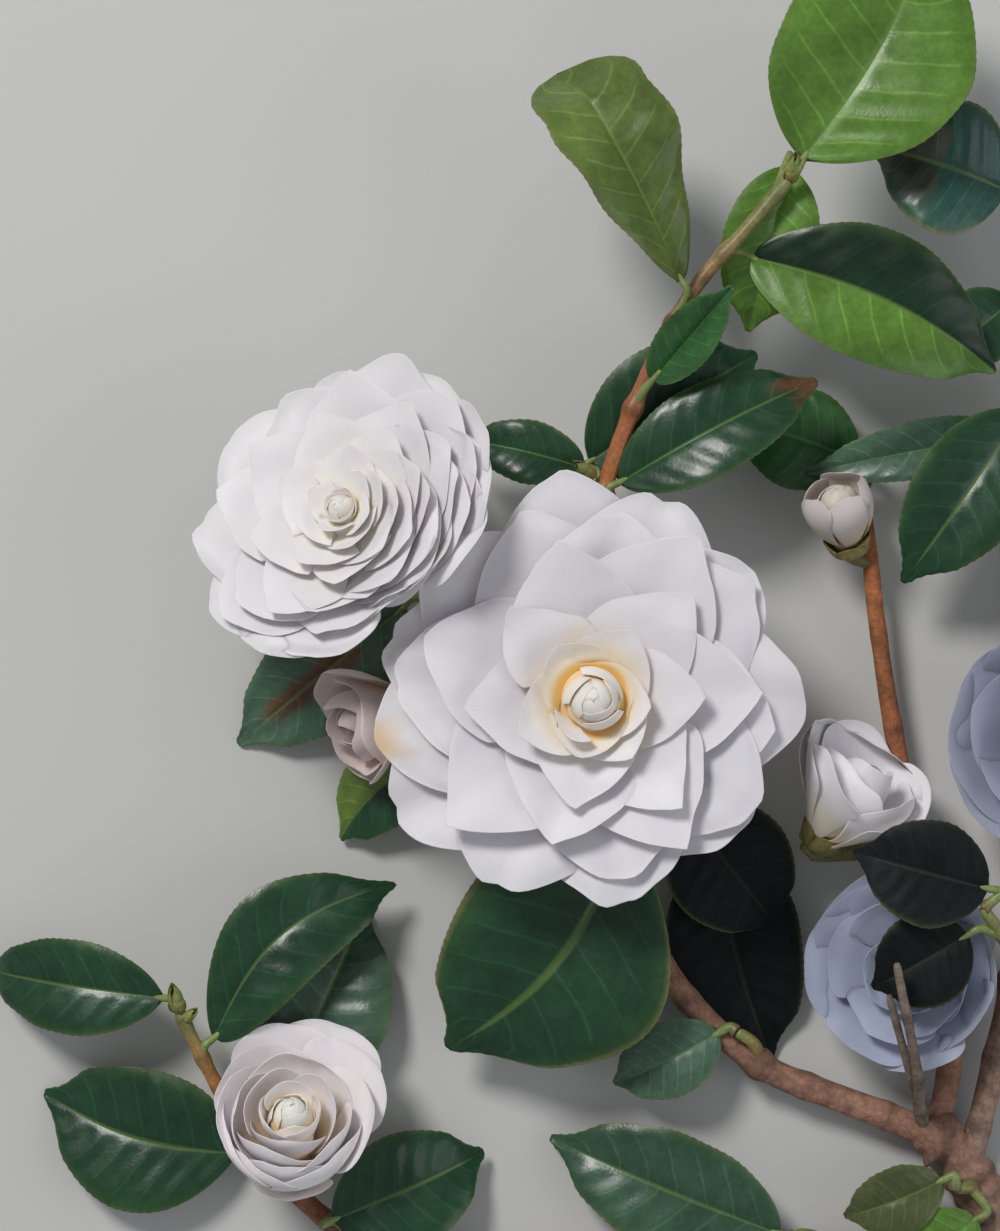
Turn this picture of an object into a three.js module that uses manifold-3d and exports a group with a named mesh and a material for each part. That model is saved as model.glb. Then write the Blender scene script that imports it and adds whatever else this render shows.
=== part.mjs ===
// A flowering camellia branch, cut from the shrub and laid down on its back.
// Millimetres, +Z up. It lies along the XY plane with its blooms facing up: X runs to the
// right and Y towards the tip of the leading shoot.
import * as THREE from "three";
import { mergeVertices } from "three/addons/utils/BufferGeometryUtils.js";
import Module from "manifold-3d";

const wasm = await Module();
wasm.setup();

// Where the middle of the branch's box and the floor under it lie, in the places given below.
const MIDDLE_X = 15.19;
const MIDDLE_Y = -1.38;
const FLOOR_Z = 0.14;

// Clearance between two pieces that rest on each other.
const GAP = 0.3;

// Leaves: leathery blades on short stalks.
const LEAF_THICK = 0.9;
const LEAF_ACROSS = 2;
const LEAF_ALONG = 4;
const LEAF_END = 0.8; // half-width left at either end of the blade
const LEAF_SHOULDER = 0.85; // under 1, the blade is widest nearer its foot
const LEAF_FULLNESS = 0.7; // the smaller, the fuller its two ends
const STALK_R = 1.15;
const STALK_SIDES = 3;
const STALK_SINK = 3; // how far the stalk runs on into the blade

// Wood and shoots.
const STEM_SIDES = 7;
const RING_STEP = 13; // stem length from one ring of corners to the next

// Petals.
const PETAL_THICK = 0.7;
const PETAL_LEAN = 0.1; // slope across a petal's tip: one edge lies over its neighbour
const FOOT_LEAN = 0.36; // the same at its foot
const CLAW = 0.1; // how narrow a petal starts, in half turns of the sine that gives its width
const SPREAD = 0.5; // how far that sine runs on by its tip
const PETAL_FULLNESS = 1.2; // the power of that sine
const TIGHTEST = 0.3; // least radius that a petal is wrapped round, in its half-widths
const CORE_SIDES = 6;
const CORE_STEP = 0.5; // height of the ledge between a bloom's core and its heart
const HEART_SHOULDER = 0.6; // share of its height up to which a heart keeps its width
const HEART_CROWN = 0.55; // its width at the flat of its top, as a share
const HEART_CAP = 0.8; // height of that rounded top
const FLOWER_STALK = { from: 1.6, to: 2.4 };

// A spiral of petals.
const SPIRAL_STEP = 137.5; // degrees from one petal to the next
const ANGLE_VARY = 5; // degrees of seeded difference
const REACH_VARY = 0.04; // the same for a petal's reach, as a share
const UP_LEFT = 144; // degrees from the right
const GROWTH = 0.75; // under 1, more of the petals are outer ones

const vec = (p) => new THREE.Vector3(p[0], p[1], p[2]);
const mix = THREE.MathUtils.lerp;
const radians = THREE.MathUtils.degToRad;

// Seeded draws between -1 and 1, so that every run gives the same branch.
function draws(seed) {
  let state = seed;
  return () => {
    state = (state * 1664525 + 1013904223) % 4294967296;
    return (state / 4294967296) * 2 - 1;
  };
}

// A closed geometry as a solid, each of its points moved by place(x, y, z).
function bent(geometry, place) {
  geometry.deleteAttribute("normal");
  geometry.deleteAttribute("uv");
  const merged = mergeVertices(geometry, 1e-4);
  const position = merged.getAttribute("position");
  for (let i = 0; i < position.count; i++) {
    const p = place(position.getX(i), position.getY(i), position.getZ(i));
    position.setXYZ(i, p.x, p.y, p.z);
  }
  return new wasm.Manifold(
    new wasm.Mesh({
      numProp: 3,
      vertProperties: new Float32Array(position.array),
      triVerts: new Uint32Array(merged.index.array),
    }),
  );
}

// A thin blade of even thickness over surface(u, v), u from -1 to 1 and v from 0 to 1.
function blade(surface, thick, across, along) {
  const small = 0.02;
  return bent(new THREE.BoxGeometry(2, 1, 1, across, 1, along), (u, side, w) => {
    const v = w + 0.5;
    const left = surface(Math.max(u - small, -1), v);
    const right = surface(Math.min(u + small, 1), v);
    const low = surface(u, Math.max(v - small, 0));
    const high = surface(u, Math.min(v + small, 1));
    const normal = high.sub(low).cross(right.sub(left)).normalize();
    return surface(u, v).addScaledVector(normal, side * thick);
  });
}

// A stem of round section that tapers along a curve.
function limb(curve, thickR, thinR, sides = STEM_SIDES) {
  const steps = Math.max(2, Math.round(curve.getLength() / RING_STEP));
  const frames = curve.computeFrenetFrames(steps);
  return bent(new THREE.CylinderGeometry(1, 1, 1, sides, steps), (x, y, z) => {
    const t = 0.5 - y;
    const i = Math.round(t * steps);
    const r = mix(thickR, thinR, t);
    return curve
      .getPointAt(t)
      .addScaledVector(frames.normals[i], x * r)
      .addScaledVector(frames.binormals[i], z * r);
  });
}

const joined = (solids) => solids.reduce((whole, solid) => whole.add(solid));

// The same solid without the pockets that it encloses.
const filled = (solid) => joined(solid.decompose().filter((piece) => piece.volume() > 0));

const smooth = (points) => new THREE.CatmullRomCurve3(points.map(vec), false, "centripetal");

// A leaf blade from its foot to its tip. half is its greatest half-width, roll turns it about
// its midrib, fold is the slope of its two halves, arch and sway bend the midrib up and sideways.
function leafBlade({ foot, tip, half, roll = 0, fold = 0.2, arch = 3, sway = 0 }) {
  const start = vec(foot);
  const along = vec(tip).sub(start);
  const axis = along.clone().normalize();
  const side = new THREE.Vector3(0, 0, 1).cross(axis).normalize().applyAxisAngle(axis, radians(roll));
  const up = axis.clone().cross(side);
  const surface = (u, v) => {
    const outline = Math.sin(Math.PI * v ** LEAF_SHOULDER) ** LEAF_FULLNESS || 0;
    const across = u * mix(LEAF_END, half, outline);
    const bow = Math.sin(Math.PI * v);
    return start
      .clone()
      .addScaledVector(along, v)
      .addScaledVector(side, across + sway * bow)
      .addScaledVector(up, fold * Math.abs(across) + arch * bow);
  };
  return blade(surface, LEAF_THICK, LEAF_ACROSS, LEAF_ALONG);
}

// A leaf with its stalk, which leaves the stem at the given share of its length.
function leaf(stem, leafSpec) {
  const root = stem.getPointAt(leafSpec.at);
  const foot = vec(leafSpec.foot);
  const inward = vec(leafSpec.tip).sub(foot).setLength(STALK_SINK);
  const stalk = new THREE.CatmullRomCurve3([root, foot.clone().sub(inward), foot, foot.clone().add(inward)]);
  return limb(stalk, STALK_R, STALK_R, STALK_SIDES).add(leafBlade(leafSpec));
}

// A stem with its leaves fused on.
function leafyStem({ through, from, to, leaves = [] }) {
  const stem = smooth(through);
  return joined([limb(stem, from, to), ...leaves.map((spec) => leaf(stem, spec))]);
}

// One petal in its bloom's own frame, whose axis is Z. It rises from the axis, opens out and
// ends at its reach and height. bow and crown shape that curve, pull draws in the corners of its
// tip, point makes the tip sharper and skew moves it sideways. cup lifts both edges, lean lays
// one edge over the next petal and wrap bends the petal round the axis.
function petal({ angle, reach, skew = 0, across = 2, along = 2, ...shape }) {
  const { half, foot, height, bow, crown, pull, point, cup = 0.05, lean = 0.35, wrap = 0.5 } = shape;
  const profile = new THREE.QuadraticBezierCurve(
    new THREE.Vector2(...foot),
    new THREE.Vector2(reach * bow, height + crown),
    new THREE.Vector2(reach, height),
  );
  const surface = (u, v) => {
    const offTip = Math.min(Math.abs(u - skew * (1 - u * u)), 1);
    const t = v * (1 - pull * mix(1 - Math.sqrt(1 - offTip ** 2), offTip, point));
    const at = profile.getPoint(t);
    const offset = u * half * Math.sin(Math.PI * (CLAW + SPREAD * t)) ** PETAL_FULLNESS;
    const turn = radians(angle) + (wrap * offset) / Math.max(at.x, TIGHTEST * half);
    const beside = (1 - wrap) * offset;
    const lift = cup * half * u * u * t + lean * mix(FOOT_LEAN, PETAL_LEAN, t) * offset;
    return new THREE.Vector3(
      Math.cos(turn) * at.x - Math.sin(turn) * beside,
      Math.sin(turn) * at.x + Math.cos(turn) * beside,
      at.y + lift,
    );
  };
  return blade(surface, PETAL_THICK, across, along);
}

// The petals of levels whose tips are given one by one.
const levelled = (levels) => levels.flatMap(({ tips, ...shape }) => (
  tips.map(([angle, reach, skew]) => ({ ...shape, angle, reach, skew }))
));

// Petals in one spiral from the innermost to the outermost, each with a shape between those two.
// bias makes the outer ones at the upper left longer than those across from them.
function spiral({ seed, count, start, inner, outer, bias = 0 }) {
  const draw = draws(seed);
  return Array.from({ length: count }, (_, k) => {
    const share = (k / (count - 1)) ** GROWTH;
    const shape = {};
    for (const key of Object.keys(inner)) {
      const [from, to] = [inner[key], outer[key]];
      shape[key] = Array.isArray(from) ? from.map((x, i) => mix(x, to[i], share)) : mix(from, to, share);
    }
    shape.angle = start + SPIRAL_STEP * k + ANGLE_VARY * draw();
    shape.reach *= 1 + bias * share * Math.cos(radians(shape.angle - UP_LEFT)) + REACH_VARY * draw();
    return shape;
  });
}

// A round body about Z whose half-widths are given at heights from bottom to top.
function turned(profile, sides) {
  const points = profile.map(([r, z]) => new THREE.Vector2(r, z));
  return bent(new THREE.LatheGeometry(points, sides), (x, y, z) => new THREE.Vector3(x, -z, y));
}

// A bloom on its stalk: a core with the closed heart on top, the petals round it, and the stalk
// that carries it, cut clear of the stems that it grows from.
function bloom({ seat, foot, facing, core, heart, petals }, carriers) {
  const top = core[core.length - 1][1];
  const middle = turned(
    [
      [0, 0],
      ...core,
      [heart.r, top + CORE_STEP],
      [heart.r, mix(top, heart.top, HEART_SHOULDER)],
      [heart.r * HEART_CROWN, heart.top - HEART_CAP],
      [0, heart.top],
    ],
    CORE_SIDES,
  );
  const axis = vec(facing).normalize();
  const right = new THREE.Vector3(1, 0, 0);
  right.addScaledVector(axis, -right.dot(axis)).normalize();
  const place = new THREE.Matrix4()
    .makeBasis(right, axis.clone().cross(right), axis)
    .setPosition(vec(foot));
  const head = joined([middle, ...petals.map(petal)]).transform(place.toArray());
  const start = vec(foot);
  const stalk = new THREE.CatmullRomCurve3([
    vec(seat),
    start.clone().addScaledVector(axis, -STALK_SINK / 2),
    start.clone().addScaledVector(axis, STALK_SINK / 2),
  ]);
  const whole = head.add(limb(stalk, FLOWER_STALK.from, FLOWER_STALK.to));
  return filled(whole.subtract(joined(carriers)));
}

// The stems, as the points that they pass through and their radii at both ends. Each one
// starts inside the stem that carries it and is cut clear of it.
const OLD_WOOD = {
  through: [[124, -152, 5.6], [114, -138, 5.8], [103, -121, 7], [96, -118.5, 8]],
  from: 5.6,
  to: 4.2,
};
const FLOWERING_BRANCH = {
  through: [[101.5, -120.5, 7.2], [83, -113, 8], [60, -103.5, 9], [40, -84, 12], [28, -58, 15],
    [22.5, -34, 17], [20.1, -17, 18]],
  from: 3.3,
  to: 2.3,
};
const LEADING_SHOOT = {
  through: [[20.4, -19, 18], [20.5, -4, 20], [22, 22, 24], [32.5, 53, 30], [43.5, 73, 35], [54, 85, 37],
    [64.5, 97, 38]],
  from: 2.2,
  to: 1.4,
};
const LEFT_SPUR = {
  through: [[23.5, -38, 16.5], [10, -24, 19], [-6, -4, 22], [-19, 12, 26]],
  from: 2.2,
  to: 1.8,
};
const LOWER_LEFT_BRANCH = {
  through: [[114, -138, 5.8], [90, -146, 5], [45, -150, 5], [0, -150, 6], [-34, -143, 8], [-54, -126, 11]],
  from: 3.4,
  to: 2.2,
};
const LOWER_LEFT_SHOOT = {
  through: [[-53, -127, 11], [-62, -112, 15], [-68.5, -99, 18], [-73, -90, 19]],
  from: 2.0,
  to: 1.3,
};
const RIGHT_BRANCH = {
  through: [[101, -119.5, 7.4], [104, -98, 8], [100, -64, 8], [92.4, -36, 9], [86.5, -1, 11],
    [84.5, 16, 12.5], [82.5, 30, 13]],
  from: 2.8,
  to: 1.7,
};
const EDGE_BRANCH = {
  through: [[108, -129, 6.4], [114, -104, 7], [121, -70, 7], [128, -30, 8], [128.5, 8, 10]],
  from: 3,
  to: 2.3,
};
const EDGE_SHOOT = {
  through: [[128.5, 6, 9.9], [128, 22, 11.5], [124, 50, 15], [120, 84, 20], [118, 92, 22]],
  from: 2.1,
  to: 1.3,
};
const UNDER_TWIG = { through: [[29.5, -61, 14.6], [33, -56, 20], [32, -50, 23]], from: 1.7, to: 1.4 };
const NODE_TWIG = { through: [[60, -103.5, 9], [58, -98, 13], [54, -95, 15]], from: 1.7, to: 1.3 };
const LOWER_TWIG = { through: [[78, -147.5, 5], [72, -143, 9], [68, -142, 11]], from: 1.7, to: 1.4 };
const MIDDLE_TWIG = { through: [[-28, -145, 7.6], [-34, -141, 12], [-38, -138, 13]], from: 1.7, to: 1.4 };
const INNER_TWIG = {
  through: [[118, -84, 7], [116, -80, 20], [112.5, -72, 32], [107, -65, 37]],
  from: 1.7,
  to: 1.3,
};
const BASE_TWIG = { through: [[111, -133, 6], [108, -131, 12], [104, -131, 15]], from: 1.7, to: 1.3 };
const DEAD_TWIG = {
  through: [[98, -119, 8], [95.5, -111, 16], [93.5, -104, 31], [87.2, -76.5, 43]],
  from: 1.5,
  to: 0.9,
};
const DEAD_SIDE_TWIG = { through: [[95.5, -111, 16], [92, -103, 29], [86, -84, 38.5]], from: 1.2, to: 0.8 };

const LEADING_LEAVES = [
  { at: 0.35, foot: [19, 33.5, 21], tip: [-8, 40, 17], half: 7.5, roll: 8 },
  { at: 0.36, foot: [20.5, 35, 20], tip: [58.7, 60, 16], half: 15, arch: 5 },
  { at: 0.34, foot: [27, 30, 27], tip: [71.2, 53, 27], half: 11, roll: -10, arch: 5 },
  { at: 0.52, foot: [34, 52.5, 33], tip: [50.5, 71.5, 46], half: 6.5, fold: 0.6, arch: -2 },
  { at: 0.68, foot: [40, 74, 40], tip: [6, 114, 48], half: 11.5, fold: 0.5, roll: 30, arch: 6 },
  { at: 0.83, foot: [56, 80, 32], tip: [112, 55, 25], half: 15, arch: 6, sway: 3 },
  { at: 0.96, foot: [64, 100, 32], tip: [56, 64, 24], half: 11, arch: 4 },
  { at: 1, foot: [67, 101, 40], tip: [95, 152, 36], half: 22, arch: 5, sway: -3 },
];
const SPUR_LEAVES = [
  { at: 0.8, foot: [-22, 2, 12], tip: [-61, -30, 1.2], half: 13, arch: 1.5 },
  { at: 0.3, foot: [-12, -33, 9], tip: [-37, -52, 3], half: 10, fold: 0.4, arch: 2, sway: -4 },
];
const UNDER_LEAVES = [
  { at: 1, foot: [28, -50, 23], tip: [-12, -99, 16], half: 25, arch: 6, fold: 0.1, sway: 3 },
  { at: 0.8, foot: [42, -44, 15], tip: [64, -72, 9], half: 15, arch: 3 },
  { at: 0.4, foot: [45, -70, 7], tip: [70, -101, 1.5], half: 15, arch: 1.5 },
];
const NODE_LEAVES = [{ at: 1, foot: [50, -95.5, 14], tip: [26, -108, 9], half: 9, arch: 3 }];
const LOWER_LEAVES = [{ at: 1, foot: [64, -142, 11], tip: [11.6, -121, 5], half: 14, arch: 5 }];
const MIDDLE_LEAVES = [{ at: 1, foot: [-38, -138, 15], tip: [-3.5, -124, 6], half: 13.5, arch: 4 }];
const INNER_LEAVES = [
  { at: 1, foot: [103, -63, 37], tip: [78, -53, 37], half: 9, arch: 3 },
  { at: 0.75, foot: [105, -70, 34.5], tip: [80, -82, 33], half: 9, arch: 1.5 },
];
const BASE_LEAVES = [
  { at: 1, foot: [101, -129, 15], tip: [79, -138, 12], half: 8, arch: 3 },
  { at: 0.6, foot: [109, -138, 14], tip: [88, -152, 10], half: 9, arch: 3 },
];
const LOWER_LEFT_LEAVES = [
  { at: 0.95, foot: [-77, -87, 18], tip: [-120, -82, 3], half: 11, arch: 5 },
  { at: 0.72, foot: [-65, -96, 18], tip: [-24, -61.5, 12], half: 12, arch: 5, sway: 8 },
  { at: 0.4, foot: [-50, -110, 9], tip: [-31, -68, 3], half: 16, arch: 3 },
  { at: 0.15, foot: [-61, -124, 8], tip: [-106, -111, 1.2], half: 17, arch: 4, sway: 3 },
];
const EDGE_LEAVES = [
  { at: 0.45, foot: [118, 46, 22], tip: [91.5, 7.5, 20], half: 13, arch: 4 },
  { at: 0.5, foot: [118, 42, 14], tip: [70.5, 33, 13], half: 7, arch: 3, fold: 0.4 },
  { at: 0.85, foot: [117, 72, 15], tip: [100, 58, 17], half: 9, arch: 3 },
  { at: 1, foot: [114, 96, 24], tip: [84, 105.5, 26], half: 15.5, arch: 5 },
];
const BUD_TWIG = { through: [[83, 28, 13], [84.5, 32, 11], [85, 35, 9]], from: 1.4, to: 1.2 };
const BUD_LEAVES = [{ at: 1, foot: [82.5, 36, 8], tip: [54, 46, 4], half: 12, arch: 3 }];

// The main bloom: a formal double with its petals in close levels, the innermost first. Each tip
// is given by its angle from the right, its distance from the bloom's axis and any skew.
const MAIN_LEVELS = [
  { tips: [[7.7, 12.5], [117, 14.4], [252, 12.8]],
    half: 14, foot: [6.3, 26], height: 32.5, bow: 0.8, crown: -4, pull: 0.72, point: 0.95, wrap: 0.85 },
  { tips: [[61, 17.3], [199, 17.7], [310, 15.2]],
    half: 14, foot: [7.3, 25], height: 31.3, bow: 0.76, crown: -4, pull: 0.62, point: 0.95, wrap: 0.8 },
  { tips: [[1.5, 24.5], [124, 27.5, 0.35], [265, 24]],
    half: 15, foot: [8.3, 23.8], height: 30, bow: 0.64, crown: -4.5, pull: 0.46, point: 0.9, across: 4 },
  { tips: [[49, 31.7], [187, 28.3], [313, 30.5]],
    half: 16, foot: [9, 22.3], height: 28.8, bow: 0.6, crown: -5, pull: 0.46, point: 0.85, across: 4 },
  { tips: [[5.4, 37.2], [102, 35.5], [251, 32.5], [305, 38, -0.1]],
    half: 17, foot: [9.5, 20.8], height: 27.6, bow: 0.58, crown: -5, pull: 0.44, point: 0.65, across: 4 },
  { tips: [[59, 42.5], [162, 40.1], [218, 41.4, 0.1]],
    half: 18, foot: [9.5, 19.2], height: 26, bow: 0.56, crown: -5, pull: 0.44, point: 0.6, across: 4 },
  { tips: [[0.4, 48], [40, 46], [68, 48.5], [98, 51], [137, 48], [163, 47.5], [187, 48.5],
    [211, 51.5], [243, 47.5], [280, 46], [318, 45]],
    half: 19, foot: [9, 14], height: 21.5, bow: 0.54, crown: -4.5, pull: 0.46, point: 0.2 },
];
const MAIN_BLOOM = {
  seat: [20.1, -17, 18],
  foot: [20.1, -18.3, 26],
  facing: [0, 0, 1],
  core: [[4, 0.5], [10, 8], [12.5, 18], [11, 23], [8, 26.3]],
  heart: { r: 4, top: 36 },
  petals: levelled(MAIN_LEVELS),
};

// The left bloom is less open and looks up to the left, so that its lower right rim is seen
// from the side.
const LEFT_BLOOM = {
  seat: [-18.5, 11.5, 26],
  foot: [-23.5, 15.5, 32],
  facing: [-0.42, 0.3, 0.857],
  core: [[3.5, 0.5], [7, 8], [7.5, 17], [5, 23]],
  heart: { r: 2.2, top: 27.5 },
  petals: spiral({
    seed: 23,
    count: 28,
    start: 25,
    bias: 0.2,
    inner: { reach: 7, half: 6.5, foot: [3.5, 23], height: 28.4, bow: 0.9, crown: -2.5, pull: 0.42,
      point: 0.6, wrap: 0.6 },
    outer: { reach: 37, half: 17.3, foot: [6, 9], height: 20.5, bow: 0.7, crown: -5, pull: 0.45,
      point: 0.2, wrap: 0.5 },
  }),
};

// Smaller and half-open blooms, in shares of their size. The outer petals reach out from shut to
// open as the bloom opens.
const SMALL_CORE = [[0.12, 0.02], [0.22, 0.15], [0.27, 0.4], [0.2, 0.66]];
const SMALL_HEART = { r: 0.16, top: 1.02 };
const SMALL_PETALS = {
  inner: { reach: { shut: 0.24, open: 0.3 }, half: 0.34, foot: [0.15, 0.62], height: 0.98, crown: -0.12 },
  outer: { reach: { shut: 0.56, open: 1 }, half: 0.78, foot: [0.2, 0.28], height: 0.74, crown: -0.18 },
};
const scaled = (size, shares) => shares.map((share) => share * size);
const smallShape = (size, opening, { reach, half, foot, height, crown }, rest) => ({
  reach: size * mix(reach.shut, reach.open, opening),
  half: size * half,
  foot: scaled(size, foot),
  height: size * height,
  crown: size * crown,
  ...rest,
});
const smallBloom = ({ seed, count, size, opening, ...rest }) => ({
  ...rest,
  core: SMALL_CORE.map((pair) => scaled(size, pair)),
  heart: { r: size * SMALL_HEART.r, top: size * SMALL_HEART.top },
  petals: spiral({
    seed,
    count,
    start: seed,
    inner: smallShape(size, opening, SMALL_PETALS.inner, { bow: 1.2, pull: 0.4, point: 0.3, wrap: 0.9 }),
    outer: smallShape(size, opening, SMALL_PETALS.outer, { bow: 0.94, pull: 0.44, point: 0.15, wrap: 0.7 }),
  }),
});
const THIRD_BLOOM = smallBloom({
  seat: [-3, -8, 21.5], foot: [-19, -19, 19], facing: [-0.85, -0.35, 0.42],
  seed: 31, count: 9, size: 21, opening: 0.35,
});
const SMALL_BLOOM = smallBloom({
  seat: [-47, -131.5, 10], foot: [-47, -126, 13.5], facing: [0.02, 0.62, 0.78],
  seed: 37, count: 13, size: 24, opening: 0.75,
});
const RIGHT_BLOOM = smallBloom({
  seat: [97, -54, 8.2], foot: [70, -50, 15], facing: [0.5, 0.72, 0.48],
  seed: 41, count: 9, size: 25, opening: 0.3,
});
const SHADED_BLOOM = smallBloom({
  seat: [101.5, -80, 8], foot: [95, -81, 8.5], facing: [-0.2, 0, 0.95],
  seed: 43, count: 11, size: 23.5, opening: 1,
});
const EDGE_BLOOM = smallBloom({
  seat: [128, -30, 8], foot: [128, -27, 14], facing: [-0.15, 0, 0.95],
  seed: 47, count: 11, size: 28.5, opening: 0.9,
});
const OPENING_BUD = {
  seat: [85, 12, 12],
  foot: [80, 15, 15],
  facing: [-0.25, 0.75, 0.55],
  core: [[3, 0.5], [4.2, 4], [4, 9]],
  heart: { r: 3.4, top: 15 },
  petals: levelled([
    { tips: [[0, 4.5], [72, 4.6], [144, 4.4], [216, 4.6], [288, 4.5]],
      half: 4.6, foot: [3.2, 3], height: 15.5, bow: 2.1, crown: -5, pull: 0.4, point: 0.4, cup: 0.2 },
  ]),
};

const PAINT = {
  oldWood: { color: 0x8a7468, roughness: 0.9 },
  leaf: { color: 0x1f4a26, roughness: 0.35 },
  petal: { color: 0xf4f1ea, roughness: 0.7 },
};

// A bare stem, and the same stem grown by the clearance that its neighbours keep to it.
const bare = ({ through, from, to }) => limb(smooth(through), from, to);
function grown({ through, from, to }) {
  const points = through.map(vec);
  const last = points.length - 1;
  points[0].addScaledVector(points[0].clone().sub(points[1]).normalize(), GAP);
  points[last].addScaledVector(points[last].clone().sub(points[last - 1]).normalize(), GAP);
  return limb(smooth(points.map((p) => p.toArray())), from + GAP, to + GAP);
}

// The origin lies on the floor under the middle of the branch's box.
const branch = new THREE.Group();
branch.position.set(-MIDDLE_X, -MIDDLE_Y, -FLOOR_Z);
function add(name, solid, paint) {
  const mesh = solid.getMesh();
  const geometry = new THREE.BufferGeometry();
  geometry.setAttribute("position", new THREE.BufferAttribute(mesh.vertProperties, 3));
  geometry.setIndex(new THREE.BufferAttribute(mesh.triVerts, 1));
  const node = new THREE.Mesh(geometry, new THREE.MeshStandardMaterial(paint));
  node.name = name;
  branch.add(node);
}

// Each stem, the stems that it is cut clear of, and its leaves.
const clear = {
  oldWood: grown(OLD_WOOD),
  flowering: grown(FLOWERING_BRANCH),
  leading: grown(LEADING_SHOOT),
  spur: grown(LEFT_SPUR),
  lowerLeft: grown(LOWER_LEFT_BRANCH),
  right: grown(RIGHT_BRANCH),
  edge: grown(EDGE_BRANCH),
};
const wood = (spec, ...carriers) => carriers.reduce((stem, carrier) => stem.subtract(carrier), bare(spec));
const leafy = (spec, leaves, ...carriers) => (
  carriers.reduce((whole, carrier) => whole.subtract(carrier), leafyStem({ ...spec, leaves }))
);

add("old_wood", bare(OLD_WOOD), PAINT.oldWood);
add("flowering_branch", wood(FLOWERING_BRANCH, clear.oldWood), PAINT.oldWood);
add("lower_left_branch", wood(LOWER_LEFT_BRANCH, clear.oldWood), PAINT.oldWood);
add("right_branch", wood(RIGHT_BRANCH, clear.oldWood, clear.flowering), PAINT.oldWood);
add("edge_branch", wood(EDGE_BRANCH, clear.oldWood), PAINT.oldWood);
const deadTwigs = bare(DEAD_TWIG).add(bare(DEAD_SIDE_TWIG));
add("dead_twigs", deadTwigs.subtract(joined([clear.oldWood, clear.flowering])), PAINT.oldWood);
add("leading_shoot", leafy(LEADING_SHOOT, LEADING_LEAVES, clear.flowering), PAINT.leaf);
add("left_spur", leafy(LEFT_SPUR, SPUR_LEAVES, clear.flowering), PAINT.leaf);
add("under_shoot", leafy(UNDER_TWIG, UNDER_LEAVES, clear.flowering), PAINT.leaf);
add("node_shoot", leafy(NODE_TWIG, NODE_LEAVES, clear.flowering), PAINT.leaf);
add("lower_shoot", leafy(LOWER_TWIG, LOWER_LEAVES, clear.lowerLeft), PAINT.leaf);
add("middle_shoot", leafy(MIDDLE_TWIG, MIDDLE_LEAVES, clear.lowerLeft), PAINT.leaf);
add("lower_left_shoot", leafy(LOWER_LEFT_SHOOT, LOWER_LEFT_LEAVES, clear.lowerLeft), PAINT.leaf);
add("inner_shoot", leafy(INNER_TWIG, INNER_LEAVES, clear.edge), PAINT.leaf);
add("base_shoot", leafy(BASE_TWIG, BASE_LEAVES, clear.oldWood), PAINT.leaf);
add("edge_shoot", leafy(EDGE_SHOOT, EDGE_LEAVES, clear.edge), PAINT.leaf);
add("bud_shoot", leafy(BUD_TWIG, BUD_LEAVES, clear.right), PAINT.leaf);
add("main_bloom", bloom(MAIN_BLOOM, [clear.flowering, clear.leading]), PAINT.petal);
add("left_bloom", bloom(LEFT_BLOOM, [clear.spur]), PAINT.petal);
add("third_bloom", bloom(THIRD_BLOOM, [clear.spur]), PAINT.petal);
add("small_bloom", bloom(SMALL_BLOOM, [clear.lowerLeft]), PAINT.petal);
add("right_bloom", bloom(RIGHT_BLOOM, [clear.right]), PAINT.petal);
add("shaded_bloom", bloom(SHADED_BLOOM, [clear.right]), PAINT.petal);
add("edge_bloom", bloom(EDGE_BLOOM, [clear.edge]), PAINT.petal);
add("opening_bud", bloom(OPENING_BUD, [clear.right, grown(BUD_TWIG)]), PAINT.petal);

export default branch;
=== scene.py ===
from math import atan2, cos, degrees, hypot, pi, radians, sin, sqrt

import bpy
import numpy as np
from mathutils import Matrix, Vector


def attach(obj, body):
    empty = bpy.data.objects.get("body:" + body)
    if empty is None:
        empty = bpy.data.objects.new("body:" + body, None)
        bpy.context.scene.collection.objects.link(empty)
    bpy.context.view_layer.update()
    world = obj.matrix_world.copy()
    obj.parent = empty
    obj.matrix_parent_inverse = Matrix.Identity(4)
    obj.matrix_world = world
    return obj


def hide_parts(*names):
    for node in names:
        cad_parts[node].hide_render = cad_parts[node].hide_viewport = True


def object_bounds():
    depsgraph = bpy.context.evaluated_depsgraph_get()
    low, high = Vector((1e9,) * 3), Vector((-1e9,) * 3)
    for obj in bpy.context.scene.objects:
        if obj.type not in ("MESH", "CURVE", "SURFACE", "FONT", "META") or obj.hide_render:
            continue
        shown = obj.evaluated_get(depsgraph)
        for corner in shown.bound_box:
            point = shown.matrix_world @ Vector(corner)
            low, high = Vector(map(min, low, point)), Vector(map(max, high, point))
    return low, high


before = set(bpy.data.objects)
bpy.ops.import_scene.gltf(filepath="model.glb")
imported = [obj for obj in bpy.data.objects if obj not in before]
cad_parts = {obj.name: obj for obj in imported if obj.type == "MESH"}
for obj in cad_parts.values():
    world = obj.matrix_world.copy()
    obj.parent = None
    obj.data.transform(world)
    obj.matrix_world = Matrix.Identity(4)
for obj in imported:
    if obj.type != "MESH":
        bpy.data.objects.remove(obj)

CAD_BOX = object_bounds()
BOX_MARGIN = 2e-5

# Places and sizes below are millimetres in the branch's own layout, as in its construction:
# X to the right, Y towards the tip of the leading shoot, Z up. The frame's origin lies on the
# floor under the middle of the branch's box, and to_frame places everything there.
MIDDLE = np.array([15.19, -1.38, 0.14])
MM = 0.001

# Scales, sepals and the petals of a heart stand this far apart round their axis, in radians.
TURN_STEP = 2.4


def to_frame(points):
    """Points of the layout, as metres in the frame."""
    return (np.asarray(points, dtype=float) - MIDDLE) * MM


def mix(a, b, t):
    return a + (b - a) * t


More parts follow.
